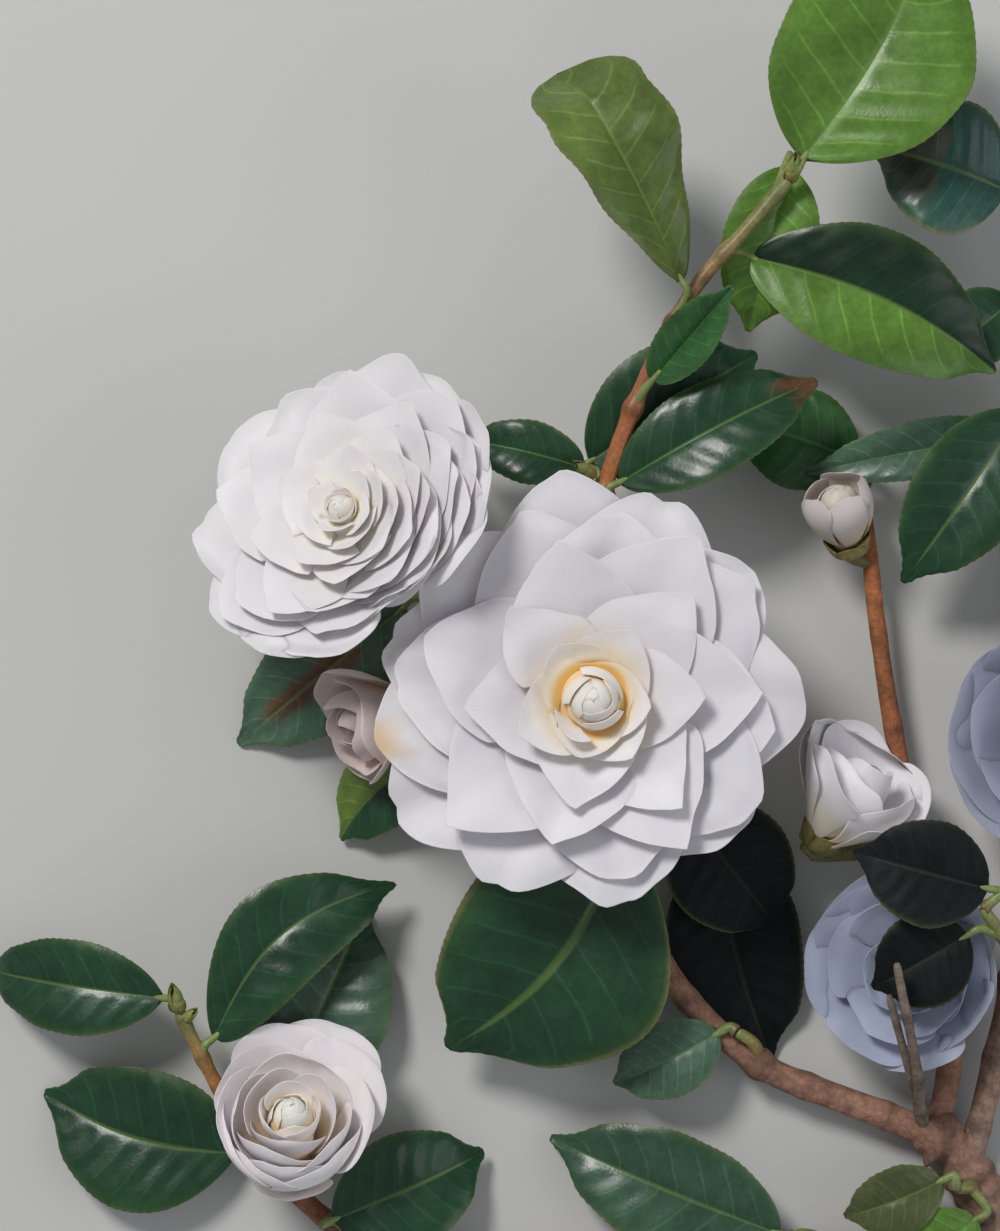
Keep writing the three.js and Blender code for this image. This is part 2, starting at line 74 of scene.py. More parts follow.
def smoothstep(low, high, x):
    t = np.clip((x - low) / (high - low), 0, 1)
    return t * t * (3 - 2 * t)


def bump(x, width):
    """1 at 0, and falling to nothing on both sides."""
    return np.exp(-((x / width) ** 2))


def margin(u, v, start):
    """0 inside a blade, and from start on rising to 1 at its edge."""
    return smoothstep(start, 1, np.maximum(np.abs(u), v))


def unit(v):
    v = np.asarray(v, dtype=float)
    return v / np.linalg.norm(v)


def ripple(rng, x, y, waves=5, low=0.5, high=2):
    """Smooth seeded unevenness over x and y, mostly between -1 and 1."""
    total = 0
    for _ in range(waves):
        angle, pitch = rng.uniform(0, 2 * pi), rng.uniform(low, high)
        phase = rng.uniform(0, 2 * pi)
        total = total + np.sin(pitch * (cos(angle) * x + sin(angle) * y) * pi + phase)
    return total / sqrt(waves)


def distances(points):
    """How far along a line of points each one is."""
    return np.concatenate([[0], np.cumsum(np.linalg.norm(np.diff(points, axis=0), axis=1))])


# Camera: straight above the branch, where the photograph was taken from.
CAMERA_HEIGHT = 0.745
FOCUS_HEIGHT = 0.045
VIEW_WIDTH = 0.219
SENSOR_WIDTH = 36

scene = bpy.context.scene
camera_data = bpy.data.cameras.new("camera")
camera_data.sensor_fit = "HORIZONTAL"
camera_data.sensor_width = SENSOR_WIDTH
camera_data.lens = SENSOR_WIDTH * (CAMERA_HEIGHT - FOCUS_HEIGHT) / VIEW_WIDTH
camera = bpy.data.objects.new("camera", camera_data)
camera.location = (*to_frame([0, 0, 0])[:2], CAMERA_HEIGHT)
scene.collection.objects.link(camera)
scene.camera = camera


# Materials
class Shade:
    """A material under construction: its nodes are made and linked in one call each."""

    def __init__(self, name):
        self.material = bpy.data.materials.new(name)
        self.material.use_nodes = True
        self.tree = self.material.node_tree
        self.surface = self.tree.nodes["Principled BSDF"]
        self.coords = self.tree.nodes.new("ShaderNodeTexCoord")

    def put(self, node, **values):
        """Sets or links a node's inputs, given by name, with _ for a space, or as n and a number."""
        for name, value in values.items():
            socket = node.inputs[int(name[1:]) if name[0] == "n" else name.replace("_", " ")]
            if isinstance(value, bpy.types.NodeSocket):
                self.tree.links.new(value, socket)
            else:
                socket.default_value = value
        return node

    def node(self, kind, settings=(), **values):
        node = self.tree.nodes.new("ShaderNode" + kind)
        for name, value in dict(settings).items():
            setattr(node, name, value)
        return self.put(node, **values)

    def math(self, operation, a, b=0, c=0):
        return self.node("Math", {"operation": operation}, n0=a, n1=b, n2=c).outputs[0]

    def times(self, a, b):
        return self.math("MULTIPLY", a, b)

    def span(self, value, from_low, from_high, to_low, to_high):
        """The value carried smoothly from one range to the other."""
        node = self.node("MapRange", {"interpolation_type": "SMOOTHSTEP"}, n0=value, n1=from_low,
                         n2=from_high,
                         n3=to_low, n4=to_high)
        return node.outputs[0]

    def noise(self, scale, detail=3, vector=None):
        vector = vector or self.coords.outputs["Object"]
        return self.node("TexNoise", Vector=vector, Scale=scale, Detail=detail).outputs[0]

    def cells(self, scale):
        """How far a point is from the edges of a net of cells."""
        edges, vector = {"feature": "DISTANCE_TO_EDGE"}, self.coords.outputs["Object"]
        return self.node("TexVoronoi", edges, Vector=vector, Scale=scale).outputs["Distance"]

    def tint(self, factor):
        """The piece's own colour, made darker or lighter by factor."""
        own = self.node("VertexColor", {"layer_name": "tint"}).outputs["Color"]
        scaled = self.node("VectorMath", {"operation": "SCALE"}, n0=own)
        self.tree.links.new(factor, scaled.inputs["Scale"])
        return scaled.outputs[0]

    def blend(self, factor, a, b):
        return self.node("Mix", {"data_type": "RGBA"}, n0=factor, n6=a, n7=b).outputs[2]

    def relief(self, height, strength, distance, under=None):
        """A bump of the given height in metres, on top of the one under it."""
        node = self.node("Bump", n0=strength, n1=distance, Height=height)
        if under is not None:
            self.tree.links.new(under, node.inputs["Normal"])
        return node.outputs[0]


def petal_material():
    """Petal skin: fine grain, streaks from foot to tip, and light that goes a little way in."""
    shade = Shade("petal")
    fine = shade.noise(scale=350)
    stretch = shade.node("Mapping", Vector=shade.coords.outputs["UV"], Scale=(30, 2, 1))
    streaks = shade.noise(scale=1.5, vector=stretch.outputs[0])
    colour = shade.tint(shade.span(streaks, 0.3, 0.7, 0.98, 1))
    normal = shade.relief(fine, 0.1, 0.0002, shade.relief(streaks, 0.1, 0.0004))
    shade.put(shade.surface, Base_Color=colour, Roughness=0.48, Normal=normal, Specular_IOR_Level=0.3,
              Subsurface_Weight=0.4, Subsurface_Scale=0.002, Subsurface_Radius=(1, 0.88, 0.72))
    return shade.material


# Side veins: how many pairs, how they slant and curl along the leaf over its half-width, how far
# the right half's stand off the left half's, in their own spacing, and how they wander.
VEIN_PAIRS = 8
VEIN_SLANT = 0.11
VEIN_CURL = 0.055
VEIN_OFFSET = 0.45
VEIN_WOBBLE = 0.03


def leaf_material(name, roughness, coat, vein_colour, vein_share, depth, shine=0.28):
    """Leaf skin with a pale midrib and pairs of side veins that loop towards the tip."""
    shade = Shade(name)
    parts = shade.node("SeparateXYZ", n0=shade.coords.outputs["UV"])
    across, along = parts.outputs[0], parts.outputs[1]
    from_rib = shade.math("ABSOLUTE", shade.math("MULTIPLY_ADD", across, 2, -1))
    right = shade.math("GREATER_THAN", across, 0.5)
    slant = shade.times(from_rib, VEIN_SLANT)
    curl = shade.times(shade.times(from_rib, from_rib), VEIN_CURL)
    wobble = shade.math("MULTIPLY_ADD", shade.noise(scale=110, detail=2), VEIN_WOBBLE, -VEIN_WOBBLE / 2)
    bent = shade.math("SUBTRACT", shade.math("SUBTRACT", along, slant), curl)
    place = shade.math("ADD", bent, wobble)
    phase = shade.math("MULTIPLY_ADD", right, VEIN_OFFSET, shade.times(place, VEIN_PAIRS))
    off = shade.math("ABSOLUTE", shade.math("SUBTRACT", shade.math("FRACT", phase), 0.5))
    side_vein = shade.times(shade.span(off, 0, 0.075, 1, 0), shade.span(from_rib, 0.68, 0.9, 1, 0))
    midrib = shade.times(shade.span(from_rib, 0.018, 0.06, 1, 0), shade.span(along, 0.8, 1, 1, 0.25))
    veins = shade.math("MAXIMUM", shade.times(side_vein, 0.55), midrib)
    mottle = shade.noise(scale=160, detail=6)
    fine = shade.noise(scale=700, detail=4)
    factor = shade.times(shade.span(mottle, 0.3, 0.7, 0.88, 1.12), shade.span(fine, 0.3, 0.7, 0.9, 1.1))
    own = shade.tint(shade.times(factor, shade.math("MULTIPLY_ADD", side_vein, 0.5, 1)))
    colour = shade.blend(shade.times(midrib, vein_share), own, vein_colour)
    net = shade.relief(shade.cells(800), 0.12, 0.0003, shade.relief(veins, depth, 0.0008))
    normal = shade.relief(fine, 0.1, 0.0003, net)
    rough = shade.span(mottle, 0.3, 0.7, roughness - 0.06, roughness + 0.1)
    shade.put(shade.surface, Base_Color=colour, Roughness=rough, Normal=normal, Specular_IOR_Level=shine,
              Coat_Weight=coat, Coat_Roughness=0.2)
    return shade.material


def bark_material(name, roughness, strength, scale, low, high):
    """Bark or scale skin, mottled from low to high times its tint, with fine dark cracks."""
    shade = Shade(name)
    rough = shade.noise(scale, detail=8)
    cracks = shade.cells(scale * 1.5)
    factor = shade.times(shade.span(rough, 0.3, 0.7, low, high), shade.span(cracks, 0, 0.12, 0.75, 1))
    normal = shade.relief(rough, strength, 0.0008, shade.relief(cracks, strength, 0.0005))
    shade.put(shade.surface, Base_Color=shade.tint(factor), Roughness=roughness, Normal=normal)
    return shade.material


PETAL = petal_material()
LEAF_TOP = leaf_material("leaf_top", roughness=0.31, coat=0.12, vein_colour=(0.17, 0.27, 0.06, 1),
                         vein_share=0.36, depth=-0.22)
# Leaves in deep shade: a copy of the leaf skin with dark midribs, which are painted shade, and no gloss.
LEAF_PAINTED_SHADE = leaf_material("leaf_painted_shade", roughness=0.5, coat=0, vein_colour=(0.05, 0.07, 0.035, 1),
                          vein_share=0.3, depth=-0.2, shine=0.12)
LEAF_UNDER = leaf_material("leaf_under", roughness=0.55, coat=0, vein_colour=(0.3, 0.36, 0.12, 1),
                           vein_share=0.55, depth=0.4)
BARK = bark_material("bark", roughness=0.8, strength=0.4, scale=340, low=0.72, high=1.25)
YOUNG_BARK = bark_material("young_bark", roughness=0.45, strength=0.12, scale=420, low=0.85, high=1.12)
GREEN_STALK = bark_material("green_stalk", roughness=0.42, strength=0.1, scale=500, low=0.88, high=1.1)
SCALE_SKIN = bark_material("scale_skin", roughness=0.5, strength=0.15, scale=600, low=0.8, high=1.15)


# Meshes
class Pile:
    """Blades and stems gathered for one mesh, with a tint for each point and a material for each face."""

    def __init__(self):
        self.points, self.tints, self.uvs = [], [], []
        self.faces = {4: [], 3: []}
        self.kinds = {4: [], 3: []}
        self.count = 0

    def add(self, points, tints, uvs):
        first = self.count
        self.points.append(points)
        self.tints.append(tints)
        self.uvs.append(uvs)
        self.count += len(points)
        return first

    def close(self, faces, kind):
        self.faces[faces.shape[1]].append(faces)
        self.kinds[faces.shape[1]].append(np.full(len(faces), kind))

    def build(self, name, materials, node):
        """Makes the piece, which rides on the only body and stands for the given node."""
        points = keep_in(to_frame(np.concatenate(self.points)))
        faces, kinds = [], []
        for sides in (4, 3):
            if self.faces[sides]:
                faces += np.concatenate(self.faces[sides]).tolist()
                kinds.append(np.concatenate(self.kinds[sides]))
        mesh = bpy.data.meshes.new(name)
        mesh.from_pydata(points.tolist(), [], faces)
        for material in materials:
            mesh.materials.append(material)
        mesh.polygons.foreach_set("material_index", np.concatenate(kinds).astype(np.int32))
        mesh.polygons.foreach_set("use_smooth", np.ones(len(faces), dtype=bool))
        tint = mesh.color_attributes.new("tint", "FLOAT_COLOR", "POINT")
        colours = np.ones((len(points), 4))
        colours[:, :3] = np.clip(np.concatenate(self.tints), 0, 1)
        tint.data.foreach_set("color", colours.ravel())
        layer = mesh.uv_layers.new(name="surface")
        corners = np.empty(len(mesh.loops), dtype=np.int32)
        mesh.loops.foreach_get("vertex_index", corners)
        layer.data.foreach_set("uv", np.concatenate(self.uvs)[corners].ravel())
        mesh.update()
        piece = bpy.data.objects.new(name, mesh)
        scene.collection.objects.link(piece)
        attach(piece, "root")
        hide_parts(node)


def keep_in(points):
    """Points of the frame, held inside the box of the construction."""
    return np.clip(points, np.array(CAD_BOX[0]) + BOX_MARGIN, np.array(CAD_BOX[1]) - BOX_MARGIN)


def grid_faces(rows, columns):
    """Four-cornered faces over a grid of points, which face the side of rows times columns."""
    i, j = np.meshgrid(np.arange(rows - 1), np.arange(columns - 1), indexing="ij")
    a = (i * columns + j).ravel()
    return np.stack([a, a + columns, a + columns + 1, a + 1], axis=1)


def shell(pile, middle, above, below, tint_top, tint_under, uv, kinds=(0, 0)):
    """A closed blade over a grid of points, above and below being its thickness on either side."""
    rows, columns = middle.shape[:2]
    normal = np.cross(np.gradient(middle, axis=0), np.gradient(middle, axis=1))
    normal = normal / np.maximum(np.linalg.norm(normal, axis=2, keepdims=True), 1e-9)
    top = (middle + normal * above[..., None]).reshape(-1, 3)
    under = (middle - normal * below[..., None]).reshape(-1, 3)
    count = rows * columns
    flat = uv.reshape(-1, 2)
    tints = np.concatenate([tint_top.reshape(-1, 3), tint_under.reshape(-1, 3)])
    first = pile.add(np.concatenate([top, under]), tints, np.concatenate([flat, flat]))
    front = grid_faces(rows, columns) + first
    index = np.arange(count).reshape(rows, columns) + first
    ring = np.concatenate([index[:-1, 0], index[-1, :-1], index[:0:-1, -1], index[0, :0:-1]])
    after = np.roll(ring, -1)
    rim = np.stack([ring, ring + count, after + count, after], axis=1)
    pile.close(front, kinds[0])
    pile.close(np.concatenate([front[:, ::-1] + count, rim]), kinds[1])


def blade(pile, points, thin, tint_top, tint_under, u, v):
    """A shell as thick above as below, with its place across and along as surface coordinates."""
    thin = thin + 0 * u
    shell(pile, points, thin, thin, tint_top, tint_under, np.stack([u * 0.5 + 0.5, v], axis=-1))


class Smooth:
    """A centripetal curve through points, read by its share of length."""

    STEPS = 40

    def __init__(self, through):
        p = np.asarray(through, dtype=float)
        p = np.vstack([2 * p[0] - p[1], p, 2 * p[-1] - p[-2]])
        pieces = [self.stretch(*p[i:i + 4]) for i in range(len(p) - 3)]
        self.points = np.vstack([*pieces, p[-2][None]])
        self.at = distances(self.points)
        self.length = self.at[-1]

    def stretch(self, *points):
        """Places from the second of four points up to the third."""
        gaps = [max(np.linalg.norm(b - a), 1e-6) ** 0.5 for a, b in zip(points, points[1:])]
        times = np.concatenate([[0], np.cumsum(gaps)])
        t = np.linspace(times[1], times[2], self.STEPS, endpoint=False)[:, None]
        for spans in ((0, 1), (1, 2), (2, 3)), ((0, 2), (1, 3)), ((1, 2),):
            ends = [(times[i], times[j]) for i, j in spans]
            points = [(high - t) / (high - low) * a + (t - low) / (high - low) * b
                      for (low, high), a, b in zip(ends, points, points[1:])]
        return points[0]

    def point(self, share):
        along = np.asarray(share) * self.length
        return np.stack([np.interp(along, self.at, self.points[:, k]) for k in range(3)], axis=-1)


def close_rings(pile, first, rings, sides, kind=0):
    """Faces between rings of points, and fans to the two points after them that close both ends."""
    i, j = np.meshgrid(np.arange(rings - 1), np.arange(sides), indexing="ij")
    near, beside = i * sides + j, i * sides + (j + 1) % sides
    pile.close(np.stack([near, beside, beside + sides, near + sides], axis=-1).reshape(-1, 4) + first, kind)
    turn, end = np.arange(sides), (rings - 1) * sides
    after, pole = (turn + 1) % sides, np.full(sides, rings * sides)
    pile.close(np.stack([pole, after, turn], axis=1) + first, kind)
    pile.close(np.stack([pole + 1, end + turn, end + after], axis=1) + first, kind)


def tube(pile, centre, radius, tint, rng, rough, sides, kind=0):
    """A closed round stem along centre, with its own radius and tint at each point."""
    tangent = np.gradient(centre, axis=0)
    tangent = tangent / np.linalg.norm(tangent, axis=1, keepdims=True)
    side = np.cross(tangent[0], [0, 0, 1] if abs(tangent[0][2]) < 0.9 else [0, 1, 0])
    turned = []
    for t in tangent:
        side = unit(side - np.dot(side, t) * t)
        turned.append(side)
    a = np.array(turned)
    b = np.cross(tangent, a)
    around, far = np.meshgrid(np.linspace(0, 2 * pi, sides, endpoint=False), distances(centre))
    x, y = np.cos(around), np.sin(around)
    knobs = ripple(rng, x + 0.07 * far, y + 0.05 * far, 8, 0.4, 1.6)
    lengthwise = ripple(rng, x * 1.4, y * 1.4 + 0.01 * far, 6, 0.8, 2.6)
    r = radius[:, None] * (1 + rough * (0.6 * knobs + 0.4 * lengthwise))
    points = centre[:, None] + (x * r)[..., None] * a[:, None] + (y * r)[..., None] * b[:, None]
    points = np.vstack([points.reshape(-1, 3), centre[0], centre[-1]])
    tints = np.vstack([np.repeat(tint, sides, axis=0), tint[0], tint[-1]])
    uvs = np.stack([around.ravel() / (2 * pi), far.ravel() * 0.01], axis=1)
    first = pile.add(points, tints, np.vstack([uvs, [[0, 0], [1, 1]]]))
    close_rings(pile, first, len(centre), sides, kind)


# Leaves: where the grid's columns stand from midrib to margin, the blunt ends' half-width, teeth,
# and the thickness of blade, midrib and stalk.
ACROSS_HALF = [0, 0.018, 0.04, 0.07, 0.12, 0.19, 0.27, 0.36, 0.45, 0.54, 0.63, 0.72, 0.8, 0.87, 0.93,
               0.97, 0.99, 1]
LEAF_ACROSS = np.array([-u for u in ACROSS_HALF[:0:-1]] + ACROSS_HALF)
LEAF_END = 0.8
TOOTH_STEP = 1.9
TOOTH_DEPTH = 0.32
ROWS_PER_TOOTH = 3
LEAF_THIN = 0.22
RIB_THICK = 0.75
STALK_THICK = 1.25
STALK_TAPER = 0.75
STALK_SINK = 3
STALK_ROOT = np.array([0.16, 0.12, 0.05])
STALK_GREEN = np.array([0.2, 0.26, 0.075])

DARK = np.array([0.012, 0.048, 0.020])
MID = np.array([0.028, 0.098, 0.028])
BRIGHT = np.array([0.115, 0.25, 0.035])
OLIVE = np.array([0.125, 0.195, 0.04])
GREYISH = np.array([0.06, 0.12, 0.075])
BLUISH = np.array([0.018, 0.06, 0.045])
SCORCH = np.array([0.13, 0.058, 0.03])
RIM = np.array([0.16, 0.15, 0.06])
UNDERSIDE = np.array([0.13, 0.2, 0.075])
# Near black: painted shade, for the leaves that lie in deep shade.
PAINTED_SHADE_DARK = np.array([0.006, 0.008, 0.009])


def leaf_surface(spec, rng):
    """The middle of a leaf blade as a grid of points, with its distances from midrib and foot."""
    foot, tip = np.array(spec["foot"], float), np.array(spec["tip"], float)
    half = spec["half"]
    length = np.linalg.norm(tip - foot)
    rows = int(length / TOOTH_STEP * ROWS_PER_TOOTH) + 1
    u, v = np.meshgrid(LEAF_ACROSS, np.linspace(0, 1, rows))
    axis = (tip - foot) / length
    side = unit(np.cross([0, 0, 1], axis))
    roll = radians(spec.get("roll", 0))
    side = side * cos(roll) + np.cross(axis, side) * sin(roll)
    up = np.cross(axis, side)
    blunt = spec.get("blunt", 0)
    outline = np.sin(pi * v ** (0.85 + 0.7 * blunt)) ** (0.7 - 0.2 * blunt)
    drawn = 1 - 0.55 * (1 - blunt) * smoothstep(0.8, 0.97, v)
    width = mix(LEAF_END, half, outline * drawn)
    tooth = (v * length / TOOTH_STEP) % 1
    tooth = (tooth ** 1.6 - 0.5) * TOOTH_DEPTH * smoothstep(0.08, 0.2, v)
    margin = 0.012 * half * ripple(rng, v * 4, 0 * v, 4)
    across = u * (width + (tooth + margin - TOOTH_DEPTH * 0.5) * np.abs(u))
    bow = np.sin(pi * v)
    near = np.abs(across)
    fold, arch, sway = spec.get("fold", 0.2), spec.get("arch", 3), spec.get("sway", 0)
    share = near / np.maximum(width, 1e-6)
    veins = (v - VEIN_SLANT * np.abs(u) - VEIN_CURL * u * u) * VEIN_PAIRS + VEIN_OFFSET * (u > 0)
    inside = smoothstep(0.03, 0.25, np.abs(u)) * (1 - smoothstep(0.7, 0.97, np.abs(u)))
    lift = fold * near + arch * bow
    lift = lift - 0.3 * bump(across, 0.9) * (1 - 0.6 * v)
    lift = lift + 0.009 * half * inside * -np.cos(2 * pi * veins) * np.sin(pi * np.clip(v, 0, 1)) ** 0.5
    lift = lift + spec.get("wave", 0.045) * half * ripple(rng, v * 3, u * 0.5, 5) * share ** 2 * bow
    lift = lift - spec.get("curl", 0.12) * half * share ** 4 * bow
    lift = lift - spec.get("droop", 1.5) * smoothstep(0.82, 1, v)
    middle = foot + (tip - foot) * v[..., None] + side * (across + sway * bow)[..., None]
    return middle + up * lift[..., None], u, v, across


def leaf_tints(spec, rng, u, v):
    """Colours of a leaf's two sides at each of its points."""
    top, under = np.array(spec["top"]), np.array(spec.get("under", UNDERSIDE))
    patches = ripple(rng, v * 2.2, u * 1.4, 6)
    # A leaf given an other colour has it on one side of the midrib: its two halves are painted lit and in
    # shade.
    halves = smoothstep(-0.06, 0.06, -u)[..., None]
    shaded = mix(top, np.array(spec.get("other", top)), halves) * (1 + 0.14 * patches[..., None])
    # Lighter green towards the margins.
    fresh = spec.get("fresh", 0.16) * smoothstep(0.75, 1, np.abs(u))
    shaded = mix(shaded, BRIGHT * 0.8, fresh[..., None])
    rim = spec.get("rim", 0.25) * smoothstep(0.93, 1, np.abs(u) + 0.02 * patches)
    shaded = mix(shaded, RIM, rim[..., None])
    for start, stop, wide, amount in spec.get("scorch", ()):
        ragged = 0.05 * ripple(rng, v * 9, u * 5, 6)
        at = v + ragged
        place = smoothstep(start - 0.05, start + 0.05, at) * (1 - smoothstep(stop - 0.05, stop + 0.05, at))
        place = place * (1 - smoothstep(wide * 0.6, wide, np.abs(u) + ragged))
        shaded = mix(shaded, SCORCH * (1 + 0.3 * patches[..., None]), (amount * place)[..., None])
    if "tip_burn" in spec:
        burn = spec["tip_burn"] * smoothstep(0.8, 0.93, v + 0.05 * patches)
        shaded = mix(shaded, SCORCH, burn[..., None])
    below = under * (1 + 0.1 * patches[..., None])
    below = mix(below, RIM, rim[..., None] * 0.6)
    return shaded, below


def add_leaf(name, node, stem, spec, seed):
    """A leaf with its stalk, which leaves the stem at the given share of its length."""
    rng = np.random.default_rng(seed)
    pile = Pile()
    middle, u, v, across = leaf_surface(spec, rng)
    top, under = leaf_tints(spec, rng, u, v)
    thin = LEAF_THIN * (1 - 0.5 * smoothstep(0.8, 1, np.abs(u)))
    rib = RIB_THICK * bump(across, RIB_THICK) * (1 - v) ** 0.7
    uv = np.stack([u * 0.5 + 0.5, v], axis=-1)
    shell(pile, middle, thin, thin + rib, top, under, uv, (0, 1))
    root, foot = stem.point(spec["at"]), np.array(spec["foot"], float)
    inward = unit(np.array(spec["tip"], float) - foot) * STALK_SINK
    path = Smooth([root, foot - inward, foot, foot + inward + [0, 0, -0.2]])
    share = np.linspace(0, 1, 26)
    collar = 0.35 * bump(share * path.length, 1.4)
    radius = STALK_THICK - STALK_TAPER * share ** 1.5 + collar
    tint = mix(STALK_ROOT, STALK_GREEN, smoothstep(0, 0.3, share)[:, None])
    tube(pile, path.point(share), radius, tint, rng, rough=0.05, sides=12, kind=2)
    pile.build(name, (spec.get("skin", LEAF_TOP), LEAF_UNDER, GREEN_STALK), node)


# Scales, buds and wrapped petals share one surface: part of a cone round an axis.
def wrapped(r, z, turn, spread, twist, u):
    """Points of a shell round Z: r and z over v, its middle at turn, spread wide to both sides."""
    angle = turn + u * spread
    reach = r * (1 + twist * u)
    return np.stack([np.cos(angle) * reach, np.sin(angle) * reach, z], axis=-1)


def along_axis(foot, facing):
    """Matrix and origin that carry Z to facing at foot."""
    axis = unit(facing)
    right = np.array([1, 0, 0])
    right = unit(right - np.dot(right, axis) * axis)
    return np.stack([right, np.cross(axis, right), axis]), np.array(foot, float)


def placed(points, place):
    return points @ place[0] + place[1]


def scale_grid(rows=14, columns=15):
    across, along = np.linspace(-1, 1, columns), np.linspace(0, 1, rows)
    return np.meshgrid(np.sin(across * pi / 2), 1 - (1 - along) ** 1.4)


BUD_SCALES = 7
SCALE_THIN = 0.16
BUD_TINTS = np.array([[0.24, 0.17, 0.05], [0.24, 0.34, 0.08]])
BUD_EDGE = np.array([0.1, 0.05, 0.02])


def add_bud(pile, foot, facing, length, thick, rng):
    """A closed bud: scales wrapped round each other, wide in the middle and drawn to a point."""
    place = along_axis(foot, facing)
    u, v = scale_grid()
    for k in range(BUD_SCALES):
        share = k / (BUD_SCALES - 1)
        turn = k * TURN_STEP + rng.uniform(-0.2, 0.2)
        t = v * (1 - 0.35 * np.abs(u) ** 1.7)
        r = thick * (1 - 0.25 * share) * (np.sin(pi * (0.12 + 0.8 * t)) ** 0.8) * (1 - 0.4 * t)
        z = length * mix(0, 0.22, share) + t * length * mix(0.55, 0.78, share)
        tint = mix(*BUD_TINTS, (share * 0.6 + 0.4 * t)[..., None]) * rng.uniform(0.9, 1.1)
        tint = mix(tint, BUD_EDGE, (0.6 * margin(u, v, 0.9))[..., None])
        blade(pile, placed(wrapped(r, z, turn, 1.25, 0.06, u), place), SCALE_THIN, tint, tint, u, v)


# Blooms
WHITE = np.array([0.83, 0.79, 0.82])
HEART_WHITE = np.array([0.96, 0.89, 0.80])
CREAM = np.array([0.89, 0.77, 0.58])
YELLOW = np.array([0.86, 0.51, 0.16])
GOLD = mix(CREAM, YELLOW, 0.5)
STAIN = np.array([0.72, 0.42, 0.10])
BLUSH = np.array([0.62, 0.36, 0.22])
PETAL_THIN = 0.15
PETAL_COLUMNS, PETAL_ROWS = 24, 26
# How far one side of a petal lies over its neighbour, at the foot and at the tip.
FOOT_LEAN = 0.36
PETAL_LEAN = 0.1


def thinned(u, v):
    """A petal's thickness, which halves towards its margin."""
    return PETAL_THIN * (1 - 0.5 * margin(u, v, 0.8))


def petal_grid(ring):
    """Places across and along a petal, closer to each other towards its margin."""
    fine = ring.get("fine", 0.85)
    across = np.linspace(-1, 1, int(PETAL_COLUMNS * fine) | 1)
    along = np.linspace(0, 1, int(PETAL_ROWS * fine))
    return np.meshgrid(mix(across, np.sin(across * pi / 2), 0.6), 1 - (1 - along) ** 1.5)


def petal(ring, rng):
    """The middle of one petal in its bloom's own frame, as the construction has it, with the wave,
    curl and crease that a thin petal has."""
    u, v = petal_grid(ring)
    half, (foot_r, foot_z), height = ring["half"], ring["foot"], ring["height"]
    reach, skew = ring["reach"], ring.get("skew", rng.uniform(-0.15, 0.15))
    notch = ring.get("notch", 0) * rng.uniform(0.2, 1) * bump(u - rng.uniform(-0.15, 0.15), 0.14)
    ragged = 0.012 * ripple(rng, u * 3, 0 * u, 5)
    off_tip = np.abs(u - skew * (1 - u * u))
    drawn = mix(1 - np.sqrt(1 - np.minimum(off_tip, 1) ** 2), off_tip, ring["point"])
    t = v * (1 - ring["pull"] * drawn - notch + ragged)
    r = (1 - t) ** 2 * foot_r + 2 * t * (1 - t) * reach * ring["bow"] + t * t * reach
    z = (1 - t) ** 2 * foot_z + 2 * t * (1 - t) * (height + ring["crown"]) + t * t * height
    offset = u * half * np.sin(pi * (0.1 + 0.5 * t)) ** 1.2
    z = z + ring.get("cup", 0.05) * half * u * u * t
    z = z + ring.get("lean", 0.35) * mix(FOOT_LEAN, PETAL_LEAN, t) * offset
    outer = smoothstep(0.35, 1, t)
    z = z + ring.get("wave", 0.05) * half * outer * ripple(rng, u * 1.2, t * 1.6, 5)
    z = z - ring.get("crease", 0.04) * half * bump(u, 0.2) * smoothstep(0.2, 0.9, t)
    z = z + ring.get("curl", 0) * half * smoothstep(0.78, 1, v) ** 2 * rng.uniform(0.5, 1.4)
    z = z + ring.get("edge", 0) * half * smoothstep(0.6, 1, np.abs(u)) ** 2 * outer * rng.uniform(0.3, 1.3)
    wrap = ring.get("wrap", 0.5)
    turn = radians(ring["angle"]) + wrap * offset / np.maximum(r, 0.3 * half)
    x, y, beside = np.cos(turn), np.sin(turn), (1 - wrap) * offset
    return np.stack([x * r - y * beside, y * r + x * beside, z], axis=-1), u, v, t


def petal_tints(ring, rng, u, t):
    """Colours of a petal's two sides: deep yellow at the foot, then cream, then white."""
    deep, pale = ring.get("glow", (0.15, 0.45))
    tone = np.array(ring.get("tone", (1, 1, 1)))
    shade = WHITE * tone * rng.uniform(0.97, 1)
    cream = np.array(ring.get("cream", CREAM)) * tone
    uneven = 0.05 * ripple(rng, u * 2, t * 2, 5)
    inner = np.array(ring.get("deep", YELLOW))
    inner = mix(inner, cream, smoothstep(deep - 0.15, deep + 0.15, t + uneven)[..., None])
    inner = mix(inner, shade, smoothstep(deep, pale, t + uneven)[..., None])
    blush = ring.get("blush", 0) * smoothstep(-0.3, 0.9, ripple(rng, u * 2.5, t * 3, 6))
    inner = mix(inner, BLUSH, blush[..., None])
    under = mix(cream * 0.9, shade * 0.97, smoothstep(0.1, 0.55, t)[..., None])
    return inner, under


def levelled(levels):
    """One group of petals for each level whose tips are given one by one, by angle and reach,
    and some by the skew of the tip."""
    groups = []
    for shape in levels:
        petals = []
        for index, (angle, reach, *skew) in enumerate(shape["tips"]):
            stain = shape.get("stains", {}).get(index)
            petals.append(shape | dict(angle=angle, reach=reach, stain=stain) | dict(zip(("skew",), skew)))
        groups.append(petals)
    return groups


def seen(levels, foot, facing):
    """The same for tips that are given by where they are seen from above."""
    (right, second, axis), origin = along_axis(foot, facing)
    across = np.array([right[:2], second[:2]]).T
    found = []
    for shape in levels:
        tips = []
        for x, y in shape["tips"]:
            at = np.linalg.solve(across, np.array([x, y]) - origin[:2] - shape["height"] * axis[:2])
            tips.append((degrees(atan2(at[1], at[0])), hypot(*at)))
        found.append(shape | dict(tips=tips))
    return levelled(found)


